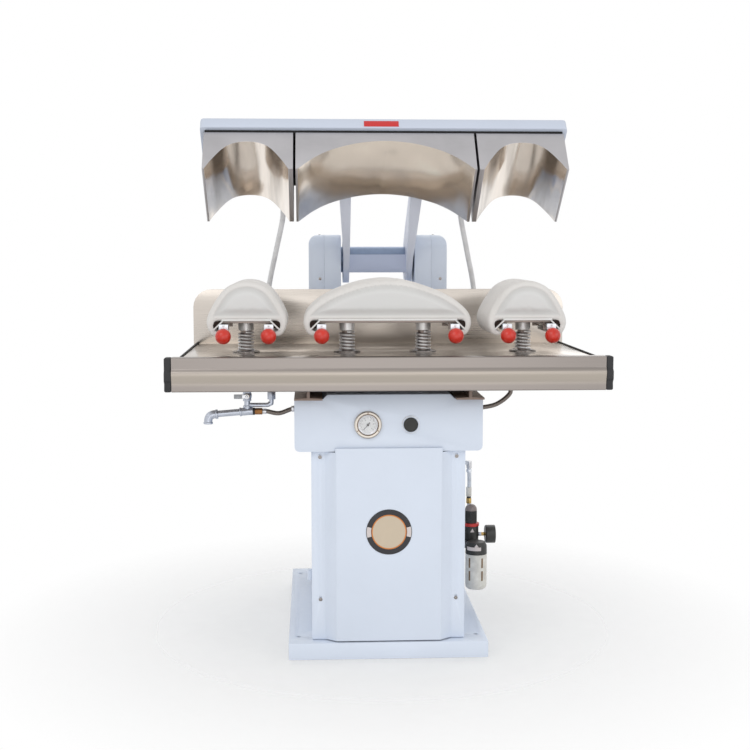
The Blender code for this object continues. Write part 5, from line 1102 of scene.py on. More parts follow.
def sewn_face(mesh, centre, half, rise, shares):
    """Shape the front and back faces: a full rim, a drawn-in seam, a raised panel, and a flat band below."""
    edge = [Vector((centre + x, PAD_WAIST + z)) for x, z in arch(shares, half, rise, 4)]
    tones = mesh.attributes.new("face_share", "FLOAT", "POINT")
    shade = mesh.attributes.new("seam_share", "FLOAT", "POINT")
    facing = [normal.vector.y for normal in mesh.vertex_normals]
    for i, (vert, outward_y) in enumerate(zip(mesh.vertices, facing)):
        if abs(outward_y) < 0.25 or vert.co.z < PAD_BOTTOM - 0.004:  # the pad's round side or its curled feet
            continue
        inner = min((Vector((vert.co.x, vert.co.z)) - point).length for point in edge)
        depth = min(inner - SEAM_IN, vert.co.z - FACE_FOOT)
        seam = eased(depth, -0.003, 0.003) * (1 - eased(depth, 0.006, 0.022))
        panel = eased(depth, 0.008, 0.024)
        side = 1 if outward_y > 0 else -1
        vert.co.y += side * (PANEL_RISE * panel - SEAM_DRAW * seam)
        tones.data[i].value = eased(depth, -0.002, 0.004)
        # The seam's share also drives painted shade in the cloth's colour
        shade.data[i].value = seam
    return mesh


def strip_along(points, width, thickness):
    """A flat cotton strip along a route, with its flat side to the front."""
    points = [Vector(point) for point in points]
    sections = []
    for i, point in enumerate(points):
        run = (points[min(i + 1, len(points) - 1)] - points[max(i - 1, 0)]).normalized()
        side = run.cross(FRONT).normalized() * width / 2
        out = FRONT * thickness / 2
        sections.append([point - side - out, point - side + out, point + side + out, point + side - out])
    return loft(sections)


def pad_edging(centre, half):
    """The hem below a pad's faces and the tapes that run from its corners to the curled feet."""
    parts = []
    reach = half - LOBE_REACH - 0.004
    for y, way in ((PAD_FRONT - 0.0002, -1), (PAD_FRONT + PAD_DEPTH + 0.0002, 1)):
        hem = [(centre - reach + 2 * reach * i / 12, y - way * 0.0004, PAD_BOTTOM + 0.0022)
               for i in range(13)]
        parts.append(rounded(strip_along(hem, 0.0052, 0.0022), 0.0008, 2))
        for side in (-1, 1):
            high = Vector((centre + side * (reach - 0.003), y - way * 0.0022, PAD_BOTTOM - 0.0002))
            low = Vector((centre + side * (half - 0.0205), y - way * 0.0022, PAD_BOTTOM - 0.0265))
            parts.append(rounded(strip_along([high, high.lerp(low, 0.5), low], 0.0042, 0.0014), 0.0004, 1))
    return all_in(COTTON_TAPE, *parts)


def pad_felt(centre, half):
    """Dark felt rolls inside a pad's two feet; they also stand in for the shade in the feet's hollows."""
    parts = []
    for side in (-1, 1):
        x = sorted((centre + side * (half - 0.0185), centre + side * (half - LOBE_REACH - 0.001)))
        parts.append(slab((x[0], PAD_FRONT + 0.006, PAD_BOTTOM - 0.0215),
                          (x[1], PAD_FRONT + PAD_DEPTH - 0.006, PAD_BOTTOM - 0.0006), 0.003, 2))
    return all_in(SHADE_FELT, *parts)


def make_pads():
    for name, centre, half, rise, shares in PADS:
        skin = sewn_face(swollen(pad_form(centre, half, rise, shares)), centre, half, rise, shares)
        pad = gathered("pad_" + name + "_cover", [(skin, COTTON)], 180)
        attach(pad, name + "_buck")
        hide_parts("pad_" + name)
        show("pad_" + name + "_edging", name + "_buck", "cloth", pad_edging(centre, half))
        show("pad_" + name + "_underfelt", name + "_buck", "cloth", pad_felt(centre, half))


# Bucks: frames, bushes, springs and clamp levers

# Name, place and body of each post
POSTS = (("left", -0.402, "left_buck"), ("collar_left", -0.1105, "collar_buck"),
         ("collar_right", 0.1105, "collar_buck"), ("right", 0.402, "right_buck"))
SPRING_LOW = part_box("spring_left")[0].z
SPRING_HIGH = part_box("spring_left")[1].z
SPRING_RADIUS, SPRING_WIRE, SPRING_TURNS = 0.0202, 0.0033, 5.25
SLEEVE_PROFILE = ((0.0152, 0.0285), (0.0195, 0.0285), (0.0195, 0.0275), (0.0218, 0.0265), (0.0218, 0.0012),
                  (0.0208, 0.0003), (0.0152, 0.0003))
BUSH_SCREW_RING = 0.0295
CUFF_LEVER_REACH, COLLAR_LEVER_REACH = 0.062, 0.1855
LEVER_Z = 0.934
LEVER_FRONT = PAD_FRONT - 0.030
LEVER_HALF = 0.0085
LEVER_SHAFT = 0.005
BALL = 0.0216


def make_bush(name, x):
    """A flanged bush with its four screws."""
    low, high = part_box("guide_bush_" + name)
    seat = TABLE_Z + 0.0003
    bush = turned([(0.0154, high.z), (0.0345, high.z), (0.039, high.z - 0.0018), (0.039, seat), (0.025, seat),
                   (0.025, low.z), (0.0154, low.z)], (x, BUCK_Y, 0))
    turns = [math.pi / 4 + math.pi / 2 * i for i in range(4)]
    heads = repeated(screw_head(0.0034, 0.0022),
                     [((x + BUSH_SCREW_RING * math.cos(turn), BUCK_Y + BUSH_SCREW_RING * math.sin(turn),
                        high.z - SEATED), UP) for turn in turns], STEEL)
    show("bush_" + name, "frame", "steel", [(bush, SHAFT_DULL), (heads, STEEL)], ("guide_bush_" + name,))


def make_spring(name, x, buck):
    """The coil between a bush and the thrust sleeve on its post."""
    sleeve = turned([(radius, SPRING_HIGH + height) for radius, height in SLEEVE_PROFILE], (x, BUCK_Y, 0))
    show("thrust_sleeve_" + name, buck, "steel", [(sleeve, SLEEVE_STEEL)])
    coil = grown(COIL, {"Wire": SPRING_WIRE, "Radius": SPRING_RADIUS, "Turns": SPRING_TURNS,
                        "Height": SPRING_HIGH - SPRING_LOW - 2 * SPRING_WIRE, "Material": SPRING_STEEL})
    coil.transform(Matrix.Translation((x, BUCK_Y, SPRING_LOW + SPRING_WIRE)))
    bent("coil_" + name, (coil, SPRING_STEEL), "spring_" + name)


def make_bucks():
    for name in ("left", "collar", "right"):
        dressed("buck_" + name, PLATE_STEEL, 0.0008)
    for name, x, buck in POSTS:
        make_bush(name, x)
        make_spring(name, x, buck)


def make_lever(pad, end, x, side):
    """A clamp lever: shaft with its blade, clamp block, stud, and the red ball."""
    clamp = slab((x - 0.013, LEVER_FRONT, LEVER_Z - LEVER_HALF),
                 (x + 0.013, LEVER_FRONT + 0.014, LEVER_Z + LEVER_HALF), 0.0016)
    shaft = bar((x, LEVER_FRONT + 0.012, LEVER_Z), (x, BUCK_Y + 0.093, LEVER_Z), LEVER_SHAFT, 24)
    near, far = sorted((x, x + side * 0.012))
    blade = slab((near, BUCK_Y - 0.030, LEVER_Z - 0.003), (far, BUCK_Y + 0.030, LEVER_Z + 0.003), 0.001, 2)
    centre = Vector((x, LEVER_FRONT - 0.020, LEVER_Z - 0.023))
    root = Vector((x, LEVER_FRONT + 0.008, LEVER_Z - 0.002))
    stud = bar(root, centre, LEVER_SHAFT, 24)
    run = (root - centre).normalized()
    turns = [math.radians(turn) for turn in range(72, -90, -6)]
    side_of_ball = [(BALL * math.cos(turn), BALL * math.sin(turn)) for turn in turns]
    ball = turned([(0.0, 0.0206), *side_of_ball, (0.0, -BALL)], centre, run, 48)
    neck = bar(centre + run * 0.0185, centre + run * 0.0225, 0.0075, 32, 0.0065)
    grub = repeated(screw_head(0.0026, 0.0014), [((x, LEVER_FRONT + SEATED, LEVER_Z + 0.0042), FRONT)], STEEL)
    stand_in("lever_" + pad + "_" + end, [(clamp, BLOCK_STEEL), *all_in(STEEL, shaft, blade, stud),
                                          *all_in(RED, ball, neck), (grub, STEEL)], 40)


def make_levers():
    for pad, centre, *_ in PADS:
        reach = COLLAR_LEVER_REACH if pad == "collar" else CUFF_LEVER_REACH
        for end, side in (("a", -1), ("b", 1)):
            make_lever(pad, end, centre + side * reach, side)


# The head's chests, which hang from its beam

CUFF_ARCH_SHARES = ((0.0, 1.0), (0.23, 0.97), (0.42, 0.885), (0.57, 0.745), (0.70, 0.56), (0.80, 0.39),
                    (0.88, 0.25), (1.0, 0.0))
COLLAR_ARCH_SHARES = ((0.0, 1.0), (0.236, 0.952), (0.444, 0.831), (0.653, 0.635), (0.833, 0.36), (1.0, 0.0))
PORT_LEFT_X, PORT_RIGHT_X = -0.297, 0.241
# Name, middle, half span, rise, arch and steam port of each chest
CHESTS = (("left", -CUFF_X, 0.1175, CUFF_RISE, CUFF_ARCH_SHARES, PORT_LEFT_X),
          ("collar", 0.0, 0.250, COLLAR_RISE, COLLAR_ARCH_SHARES, PORT_RIGHT_X),
          ("right", CUFF_X, 0.1175, CUFF_RISE, CUFF_ARCH_SHARES, None))
CHEST_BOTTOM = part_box("buck_left")[1].z + 0.0105
CHEST_TOP = CHEST_BOTTOM + 0.139
CHEST_FRONT = BUCK_Y - 0.113
CHEST_BACK = BUCK_Y + 0.113
PORT_Z = CHEST_TOP - 0.040
PRESS_GAP = 0.0035
# How far back from the front the painted shade on the haunches reaches
PAINTED_SHADE_DEPTH = 0.150


def haunch(reach):
    """How much painted shade a cuff arch gets at a share of its half span: most at its two haunches."""
    return eased(abs(reach), 0.42, 0.66) * (1 - eased(abs(reach), 0.74, 0.92))


def make_chest(name, centre, span, rise, shares, port_x):
    """A chest in its closed place, with its arch polished, then swung open."""
    low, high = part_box("chest_" + name)
    apex = PAD_WAIST + rise + PRESS_GAP
    curve = [(centre + x, CHEST_BOTTOM + z) for x, z in arch(shares, span, apex - CHEST_BOTTOM, 9)]
    face = [(low.x, CHEST_BOTTOM), *reversed(curve), (high.x, CHEST_BOTTOM), (high.x, CHEST_TOP),
            (low.x, CHEST_TOP)]
    body = rounded(outline([face], "XZ", CHEST_FRONT, CHEST_BACK), 0.0015, 3, 40)
    parts = [(body, CHEST_FACE)]
    if port_x is not None:
        at = (port_x, PORT_Z)
        parts += [(rod("Y", at, CHEST_BACK - 0.003, CHEST_BACK + 0.004, 0.0155, 6, 0), ZINC),
                  (rod("Y", at, CHEST_BACK, CHEST_BACK + 0.018, 0.0125, 6, 0.001, 3), BRASS)]
    body.update()
    pressing = [abs(face.normal.y) < 0.3 and face.normal.z < 0.3 and face.center.z < apex + 0.001
                and abs(face.center.x - centre) < span for face in body.polygons]
    # Painted shade on the cuff arches' haunches: strongest at the front, fading out towards the back
    haunch_painted_shades = [0.0 if name == "collar" else
              haunch((vert.co.x - centre) / span) * eased(vert.co.y, CHEST_FRONT + PAINTED_SHADE_DEPTH, CHEST_FRONT)
              for vert in body.vertices]
    for mesh, _ in parts:
        mesh.transform(OPENING)
    chest = stand_in("chest_" + name, parts, 28)
    chest.data.materials.append(COLLAR_FINISH if name == "collar" else CUFF_FINISH)
    last = len(chest.data.materials) - 1
    for face, is_pressing in zip(chest.data.polygons, pressing):
        if is_pressing:
            face.material_index = last
    # Stores the painted shade on the points
    stain = chest.data.attributes.new("stain_share", "FLOAT", "POINT")
    for entry, value in zip(stain.data, haunch_painted_shades):
        entry.value = value


# Hoses and pipes

HOSE_Y = 0.175
HOSE_END = 0.840
HOSE_LOW = 0.790
PIPE_END = HOSE_END - 0.0003
HOSE_BEND = 0.022
HEAD_HOSES = {  # port, foot, and the way between
    "left": (PORT_LEFT_X, -0.352, ((-0.300, 0.042, 1.235), (-0.322, 0.095, 1.140), (-0.346, 0.146, 1.030),
                                   (-0.352, 0.172, 0.940))),
    "right": (PORT_RIGHT_X, 0.304, ((0.246, 0.042, 1.240), (0.272, 0.095, 1.140), (0.299, 0.146, 1.030),
                                    (0.304, 0.172, 0.940))),
}


def make_head_hose(name, port_x, foot_x, way):
    """A steam hose that bends between the head and the frame, with its crimped sleeves and its elbow."""
    start = OPENING @ Vector((port_x, CHEST_BACK + 0.0183, PORT_Z))
    aim = OPENING.to_3x3() @ BACK
    end = Vector((foot_x, HOSE_Y, HOSE_END))
    route = route_through([start, start + aim * 0.030, *way, end + UP * 0.030, end])
    bent("head_hose_" + name + "_sleeved", (swept(route, 0.0079), SLEEVE), "head_hose_" + name)
    crimp = rounded(bar(start, start + aim * 0.020, 0.0098, 40), 0.0008, 2)
    show("head_crimp_" + name, "head", "steel", [(crimp, ZINC)])
    side = 1 if foot_x > 0 else -1
    upright, level = (foot_x, HOSE_Y), (HOSE_Y, HOSE_LOW)
    pipe = swept(route_through([(side * 0.2110, HOSE_Y, HOSE_LOW),
                                *corner((foot_x, HOSE_Y, HOSE_LOW), (-side, 0, 0), UP, HOSE_BEND),
                                (foot_x, HOSE_Y, PIPE_END)]), 0.0085)
    nut = rod("Z", upright, PIPE_END - 0.0207, PIPE_END, 0.013, 6, 0.0012)
    foot = rod("Z", upright, HOSE_END, HOSE_END + 0.020, 0.0098, 40, 0.0008)
    rings = (rod("X", level, foot_x - side * 0.033, foot_x - side * 0.028, 0.0108),
             rod("Z", upright, HOSE_LOW + 0.0195, HOSE_LOW + 0.0245, 0.0108))
    wall = rod("X", level, side * (CABINET_SIDE + 0.0002), side * (CABINET_SIDE + 0.006), 0.0135, 6)
    stand_in("hose_elbow_" + name,
             [(pipe, ZINC), (nut, BRASS), (foot, ZINC), (wall, BRASS), *all_in(ZINC, *rings)], 40)


PIPE_Y = -0.260
PIPE_Z = 0.690
PIPE_MOUTH_X, PIPE_FALL, PIPE_BEND, PIPE_MOUTH = -0.508, 0.008, 0.0168, 0.027
STEM_X = -0.397
STEM = (STEM_X, PIPE_Y)
VALVE_Z = 0.735
RISER_X = -0.328
RISER_Z = VALVE_Z - 0.027
RISER = (RISER_X, PIPE_Y)
STUB = (0.362, PIPE_Y)
UNDER_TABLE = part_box("table_top")[1].z - 0.0023
BRAID_RADIUS = 0.0064
BOX_SIDE = 0.262
BOX_HOLE_Z = 0.697


def make_steam_pipe():
    """The steam supply under the table: elbow, pipe, tee, valve, riser, and the nuts of the braided hose."""
    elbow = Vector((PIPE_MOUTH_X, PIPE_Y, PIPE_Z - PIPE_FALL))
    tee = Vector((STEM_X, PIPE_Y, PIPE_Z))
    right = Vector((1, 0, 0))
    upright, level = (elbow.x, PIPE_Y), (PIPE_Y, PIPE_Z)
    bend = [elbow + DOWN * PIPE_MOUTH, *corner(elbow, DOWN, right, PIPE_BEND), elbow + right * PIPE_MOUTH]
    bore = rod("Z", upright, elbow.z - 0.04, elbow.z - PIPE_BEND, 0.008, bead=0)
    mouth = combined(swept(route_through(bend), 0.0118, 40), bore, "DIFFERENCE")
    start = elbow + right * (PIPE_MOUTH / 2)
    run = (tee - start).normalized()
    waist = turned([(0.0112, 0.0085), (0.0130, 0.005), (0.0132, 0.0), (0.0130, -0.005), (0.0112, -0.0085),
                    (0.002, -0.0085), (0.002, 0.0085)], (STEM_X, PIPE_Y, VALVE_Z), sides=48)
    riser = [(STEM_X, PIPE_Y, RISER_Z), *corner((RISER_X, PIPE_Y, RISER_Z), (-1, 0, 0), UP, 0.016),
             (RISER_X, PIPE_Y, UNDER_TABLE)]
    beads = (
        rounded(bar(elbow + right * 0.021, elbow + Vector((0.028, 0, 0.0006)), 0.0135, 40), 0.0015),
        rod("Z", upright, elbow.z - 0.0275, elbow.z - 0.0215, 0.0135, 40, 0.0015, 3),
        rounded(bar(tee - run * 0.022, tee - run * 0.016, 0.0125, 40), 0.0015),
        rounded(bar(tee - run * 0.018, tee + run * 0.016, 0.0112, 40), 0.001, 2),
        rod("Z", STEM, PIPE_Z + 0.011, PIPE_Z + 0.017, 0.0118, 40, 0.0012),
        rod("Z", RISER, VALVE_Z + 0.0105, VALVE_Z + 0.016, 0.0092))
    nuts = [rod("Z", at, VALVE_Z + low, VALVE_Z + high, radius, 6, 0.0012) for at, low, high, radius in (
        (STEM, -0.015, -0.007, 0.0134), (STEM, 0.007, 0.015, 0.0134), (RISER, -0.0105, 0.0105, 0.0130))]
    stem = rod("Z", STEM, PIPE_Z, UNDER_TABLE, 0.0085, 40, 0)
    zinc = all_in(ZINC, mouth, bar(start, tee, 0.0093, 40), stem, waist,
                  swept(route_through(riser), BRAID_RADIUS), *beads, *nuts)
    valve = (STEM_X, VALVE_Z)
    stand_in("steam_pipe", [
        *zinc, (rod("Y", valve, PIPE_Y, PIPE_Y - 0.023, 0.004, 24, 0), STEEL),
        (rod("Y", valve, PIPE_Y - 0.010, PIPE_Y - 0.019, 0.0078, 6, 0.0008), BRASS),
        (rod("X", level, STEM_X + 0.010, STEM_X + 0.0215, 0.0108, 6, 0.0012), RUBBER),
        (rod("X", level, STEM_X + 0.0215, STEM_X + 0.043, 0.0098, 6, 0.0012), BRONZE)], 40)


def make_valve_handle():
    low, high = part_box("valve_handle")
    lever = slab(low, high, 0.0012)
    grip = slab((low.x, low.y - 0.0004, low.z - 0.0004), (low.x + 0.024, high.y + 0.0003, high.z + 0.0004),
                0.0014)
    nut = repeated(screw_head(0.0042, 0.0026), [((STEM_X, low.y + SEATED, VALVE_Z), FRONT)], STEEL)
    stand_in("valve_handle", [(lever, STEEL), (grip, GREY_GRIP), (nut, STEEL)], 40)


def make_side_hoses():
    """The braided hoses from the steam pipe into the control box, and from its other side up to the table."""
    start = STEM_X + 0.0433
    left = ((start, PIPE_Z), (start + 0.012, PIPE_Z), ((start - BOX_SIDE) / 2, PIPE_Z - 0.006),
            (-BOX_SIDE - 0.012, 0.695), (-BOX_SIDE, BOX_HOLE_Z), (-0.249, BOX_HOLE_Z))
    hose = swept(route_through([(x, PIPE_Y, z) for x, z in left]), BRAID_RADIUS)
    ends = (rod("X", (PIPE_Y, PIPE_Z), start, start + 0.011, 0.0078, 32, 0.0008),
            rounded(bar((-BOX_SIDE - 0.0095, PIPE_Y, 0.6962), (-BOX_SIDE - 0.0003, PIPE_Y, BOX_HOLE_Z),
                        0.0088, 6), 0.0008, 2))
    stand_in("steam_hose_left", [(hose, BRAID), *all_in(STEEL, *ends)], 40)
    right = ((0.249, BOX_HOLE_Z), (BOX_SIDE + 0.012, BOX_HOLE_Z), (BOX_SIDE + 0.0564, 0.7075), (0.356, 0.739),
             (STUB[0], 0.780))
    hose = swept(route_through([(x, PIPE_Y, z) for x, z in right], 10), BRAID_RADIUS)
    end = rod("X", (PIPE_Y, BOX_HOLE_Z), BOX_SIDE + 0.0003, BOX_SIDE + 0.0095, 0.0088, 6, 0.0008)
    stub = (rod("Z", STUB, 0.780, 0.800, 0.0085, 32, 0.0008), rod("Z", STUB, 0.800, 0.826, 0.0110, 6, 0.0012),
            rod("Z", STUB, 0.826, UNDER_TABLE, 0.0085, bead=0))
    stand_in("steam_hose_right", [(hose, BRAID), (end, STEEL), *all_in(ZINC, *stub)], 40)


# Filter and regulator on the cabinet's side

FILTER_X = 0.2955
REGULATOR_X = 0.2885
REGULATOR_Y = 0.078
REGULATOR = (REGULATOR_X, REGULATOR_Y)
BOWL_LOW = 0.094
BOWL_TOP = BOWL_LOW + 0.1117
HEAD_LOW = BOWL_TOP + 0.0003
HEAD_TOP = HEAD_LOW + 0.037
LINE_Z = HEAD_LOW + 0.0424
GUARD_PROFILE = ((0.0, 0.1117), (0.0332, 0.1117), (0.0332, 0.014), (0.0315, 0.0065), (0.0265, 0.0015),
                 (0.021, 0.0), (0.0, 0.0))


def make_filter():
    """The slotted guard, with dark plates in its slots that stand in for the openings, painted with the bowl's
    brown in shade behind them.
    """
    guard = turned([(radius, BOWL_LOW + height) for radius, height in GUARD_PROFILE], (FILTER_X, 0.0, 0))
    # Painted shade: dark plates stand in for the slots' openings and the shaded bowl behind them
    slot = slab((0.0300, -0.0031, -0.0155), (0.0335, 0.0031, 0.0155), 0.0007, 2, 60)
    slots = []
    for height in (0.046, 0.0865):
        ring = ringed(slot, 5, -135, 360, SLOT_DARK)
        ring.transform(Matrix.Translation((FILTER_X, 0, BOWL_LOW + height)))
        slots.append(ring)
    drain = rod("Z", (FILTER_X, 0), BOWL_LOW, BOWL_LOW + 0.004, 0.007, 24, 0.0008)
    show("filter_guard", "frame", "pale", [(guard, BOWL), (drain, RUBBER), *all_in(SLOT_DARK, *slots)],
         ("filter_bowl",))


def triangle(left, right, tip, low, high, front, back):
    """A small flat triangle that stands on its base."""
    return outline([[(left, low), (right, low), (tip, high)]], "XZ", front, back)


def make_regulator():
    """The filter's head and clip, the regulator's body with its ring, and the bracket that holds them."""
    centre = (FILTER_X, 0.0, 0)
    head = turned([(0.0, HEAD_TOP), (0.0268, HEAD_TOP), (0.0330, HEAD_TOP - 0.011),
                   (0.0335, HEAD_LOW + 0.001), (0.0325, HEAD_LOW), (0.0, HEAD_LOW)], centre)
    band = turned([(0.0325, HEAD_LOW + 0.025), (0.0346, HEAD_LOW + 0.025), (0.0346, HEAD_LOW + 0.014),
                   (0.0325, HEAD_LOW + 0.014)], centre, sides=96)
    front_of_band = block((FILTER_X - 0.030, -0.05, 0.0), (FILTER_X + 0.011, -0.010, 1.0))
    clip = rounded(combined(band, front_of_band, "INTERSECT"), 0.0006, 2)
    # Painted highlights: two pale triangles, one on the dark filter head and one on the regulator body
    tip = triangle(FILTER_X - 0.010, FILTER_X + 0.004, FILTER_X - 0.003, HEAD_LOW + 0.0252, HEAD_LOW + 0.0340,
                   -0.0330, -0.0270)
    body_highlight = triangle(REGULATOR_X - 0.005, REGULATOR_X + 0.008, REGULATOR_X + 0.002, HEAD_TOP + 0.0165,
                    HEAD_TOP + 0.0285, REGULATOR_Y - 0.0246, REGULATOR_Y - 0.0222)
    ring_low = HEAD_TOP + 0.0366
    body = turned([(0.0, ring_low), (0.0225, ring_low), (0.0240, ring_low - 0.0016),
                   (0.0240, HEAD_LOW + 0.002), (0.0225, HEAD_LOW), (0.0, HEAD_LOW)], (*REGULATOR, 0))
    shelf = HEAD_TOP - 0.012
    bridge = slab((REGULATOR_X - 0.018, 0.0, HEAD_LOW + 0.003), (REGULATOR_X + 0.018, REGULATOR_Y, shelf),
                  0.002, 2)
    ring = rod("Z", REGULATOR, ring_low - 0.003, ring_low + 0.006, 0.026, 64)
    wall = CABINET_SIDE + 0.0003
    bracket = (slab((wall, 0.0168, shelf - 0.004), (*REGULATOR, shelf), 0.0008, 2),
               slab((wall, 0.0168, shelf - 0.040), (wall + 0.0040, REGULATOR_Y, shelf), 0.0008, 2))
    bolts = repeated(screw_head(0.0042, 0.0028), [((CABINET_SIDE + 0.0042, y, shelf - 0.028), (1, 0, 0))
                                                  for y in (0.030, 0.064)], STEEL)
    show("regulator_shown", "frame", "black_plastic",
         [*all_in(PLASTIC, head, body, bridge), (ring, RED_RING), (body_highlight, CREAM), (bolts, STEEL),
          *all_in(CREAM, clip, tip), *all_in(ZINC, *bracket)], ("regulator_body",))


def make_regulator_knob():
    """A smoked dome over a ribbed skirt."""
    low, top = (corner.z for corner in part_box("regulator_knob"))
    rim = low + 0.0395
    turns = [math.pi / 2 * i / 8 for i in range(1, 9)]
    dome = [(0.0, top), *((0.0189 * math.sin(turn), top - 0.018 * (1 - math.cos(turn))) for turn in turns),
            (0.0189, rim), (0.0, rim)]
    crown = turned(dome, (*REGULATOR, 0))
    skirt = turned([(0.0, rim - 0.0001), (0.0178, rim - 0.0001), (0.0178, low), (0.0, low)], (*REGULATOR, 0))
    rib = slab((0.0172, -0.0010, low + 0.003), (0.0187, 0.0010, low + 0.038), 0.0005, 1, 60)
    ribs = ringed(rib, 32, 0, 360, PLASTIC)
    ribs.transform(Matrix.Translation((*REGULATOR, 0)))
    stand_in("regulator_knob", [(crown, SMOKED), *all_in(PLASTIC, skirt, ribs)])


def make_regulator_gauge():
    """A small gauge that faces the right side, with its dial, ticks and hand."""
    low, high = (corner.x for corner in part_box("regulator_gauge"))
    back = low + 0.021
    at = (REGULATOR_Y, LINE_Z)
    shell = turned([(0.0, high - 0.0035), (0.0225, high - 0.0035), (0.0240, high), (0.0275, high),
                    (0.0285, high - 0.0015), (0.0285, back + 0.003), (0.0262, back), (0.0085, back),
                    (0.0, back)], (0, *at), (1, 0, 0))
    neck = rod("X", at, low, back + 0.001, 0.0060, 6, 0.0006)
    nut = rod("X", at, low, low + 0.009, 0.0068, 6, 0.0006)
    dial = rod("X", at, high - 0.0036, high - 0.0030, 0.0222, 64, 0)
    hub = rod("X", at, high - 0.0031, high - 0.0012, 0.0026, 24, 0)
    ticks = ringed(block((0.0165, -0.0005, 0), (0.0205, 0.0005, 0.0004)), 11, -135, 270, INK)
    face = Matrix.Translation((high - 0.0031, *at)) @ Matrix.Rotation(math.pi / 2, 4, "Y")
    hand = loft([[(-0.003, -0.0006, z), (-0.003, 0.0006, z), (0.0165, 0.0002, z), (0.0165, -0.0002, z)]
                 for z in (0.0006, 0.0012)])
    hand.transform(face @ Matrix.Rotation(2.2, 4, "Z"))
    ticks.transform(face)
    stand_in("regulator_gauge", [(shell, PLASTIC), (neck, BRASS), (nut, ZINC), (dial, DIAL),
                                 *all_in(INK, ticks, hand, hub)])


AIR_Y = 0.136
AIR_TOP = 0.468
AIR_FITTINGS = (  # from, to, radius, sides and finish
    (0.3365, 0.353, 0.0092, 6, BRASS), (0.353, 0.359, 0.0072, 32, PLASTIC), (0.359, 0.3886, 0.0088, 32, BOWL),
    (0.437, 0.447, 0.0086, 32, BLOCK_STEEL), (0.450, 0.4735, 0.0094, 6, STEEL))


def make_air_line():
    """The air line: from the regulator's back, up through its fittings, and into the cabinet's side wall."""
    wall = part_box("air_line")[0].x
    start = REGULATOR_Y + 0.0243
    route = [(REGULATOR_X, start, LINE_Z), (REGULATOR_X, AIR_Y - 0.016, LINE_Z),
             (REGULATOR_X, AIR_Y, LINE_Z + 0.016), (REGULATOR_X, AIR_Y, AIR_TOP - 0.022),
             (REGULATOR_X - 0.022, AIR_Y, AIR_TOP), (wall, AIR_Y, AIR_TOP)]
    line = swept(route_through(route), 0.0064)
    foot = rod("Y", (REGULATOR_X, LINE_Z), start, start + 0.012, 0.0094, 6)
    fittings = [(rod("Z", (REGULATOR_X, AIR_Y), low, high, radius, sides, 0.0009), material)
                for low, high, radius, sides, material in AIR_FITTINGS]
    nut = rod("X", (AIR_Y, AIR_TOP), wall + 0.010, wall, 0.0094, 6)
    stand_in("air_line", [(line, SLEEVE_PALE), (foot, BRASS), (nut, STEEL), *fittings], 40)


# Controls on the box, the badge and the head's plate

CONTROL_Z = (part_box("pressure_gauge")[0].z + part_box("pressure_gauge")[1].z) / 2
GAUGE_AT = Vector((-0.0585, BOX_FRONT, CONTROL_Z))
BUTTON_AT = Vector((0.0605, BOX_FRONT, CONTROL_Z))
FACING = Matrix.Rotation(math.pi / 2, 4, "X")
RIM_PROFILE = ((0.0275, 0.0035), (0.0288, 0.0080), (0.0310, 0.0090), (0.0352, 0.0088), (0.0380, 0.0062),
               (0.0385, 0.0030), (0.0385, 0.0003), (0.0275, 0.0003))
LINER_PROFILE = ((0.0223, 0.0036), (0.0275, 0.0052), (0.0278, 0.0030), (0.0223, 0.0030))
INLAY_PROFILE = ((0.0284, 0.0075), (0.0290, 0.0082), (0.0303, 0.0090), (0.0303, 0.0080))
WINDOW_PROFILE = ((0.0, 0.0075), (0.0286, 0.0075), (0.0286, 0.0068), (0.0, 0.0068))
BUTTON_RING_PROFILE = ((0.0203, 0.0052), (0.0210, 0.0060), (0.0238, 0.0058), (0.0250, 0.0040),
                       (0.0250, 0.0002), (0.0203, 0.0002))
BUTTON_PROFILE = ((0.0, 0.0116), (0.0130, 0.0116), (0.0160, 0.0120), (0.0180, 0.0118), (0.0194, 0.0108),
                  (0.0199, 0.0090), (0.0199, 0.0054), (0.0, 0.0054))
DIAL_START, DIAL_SWEEP, DIAL_MARKS = 225, 270, 5
NUMERAL_RING = 0.0146
NEEDLE_TURN = -140


def numeral(text, where):
    """A number as a mesh, upright on the front of the machine."""
    words = bpy.data.curves.new("number", "FONT")
    words.body = text
    words.size = 0.0050
    words.align_x = "CENTER"
    words.align_y = "CENTER"
    words.extrude = 0.0002
    mesh = mesh_of(bpy.data.objects.new("number", words))
    mesh.transform(Matrix.Translation(where) @ FACING)
    return mesh


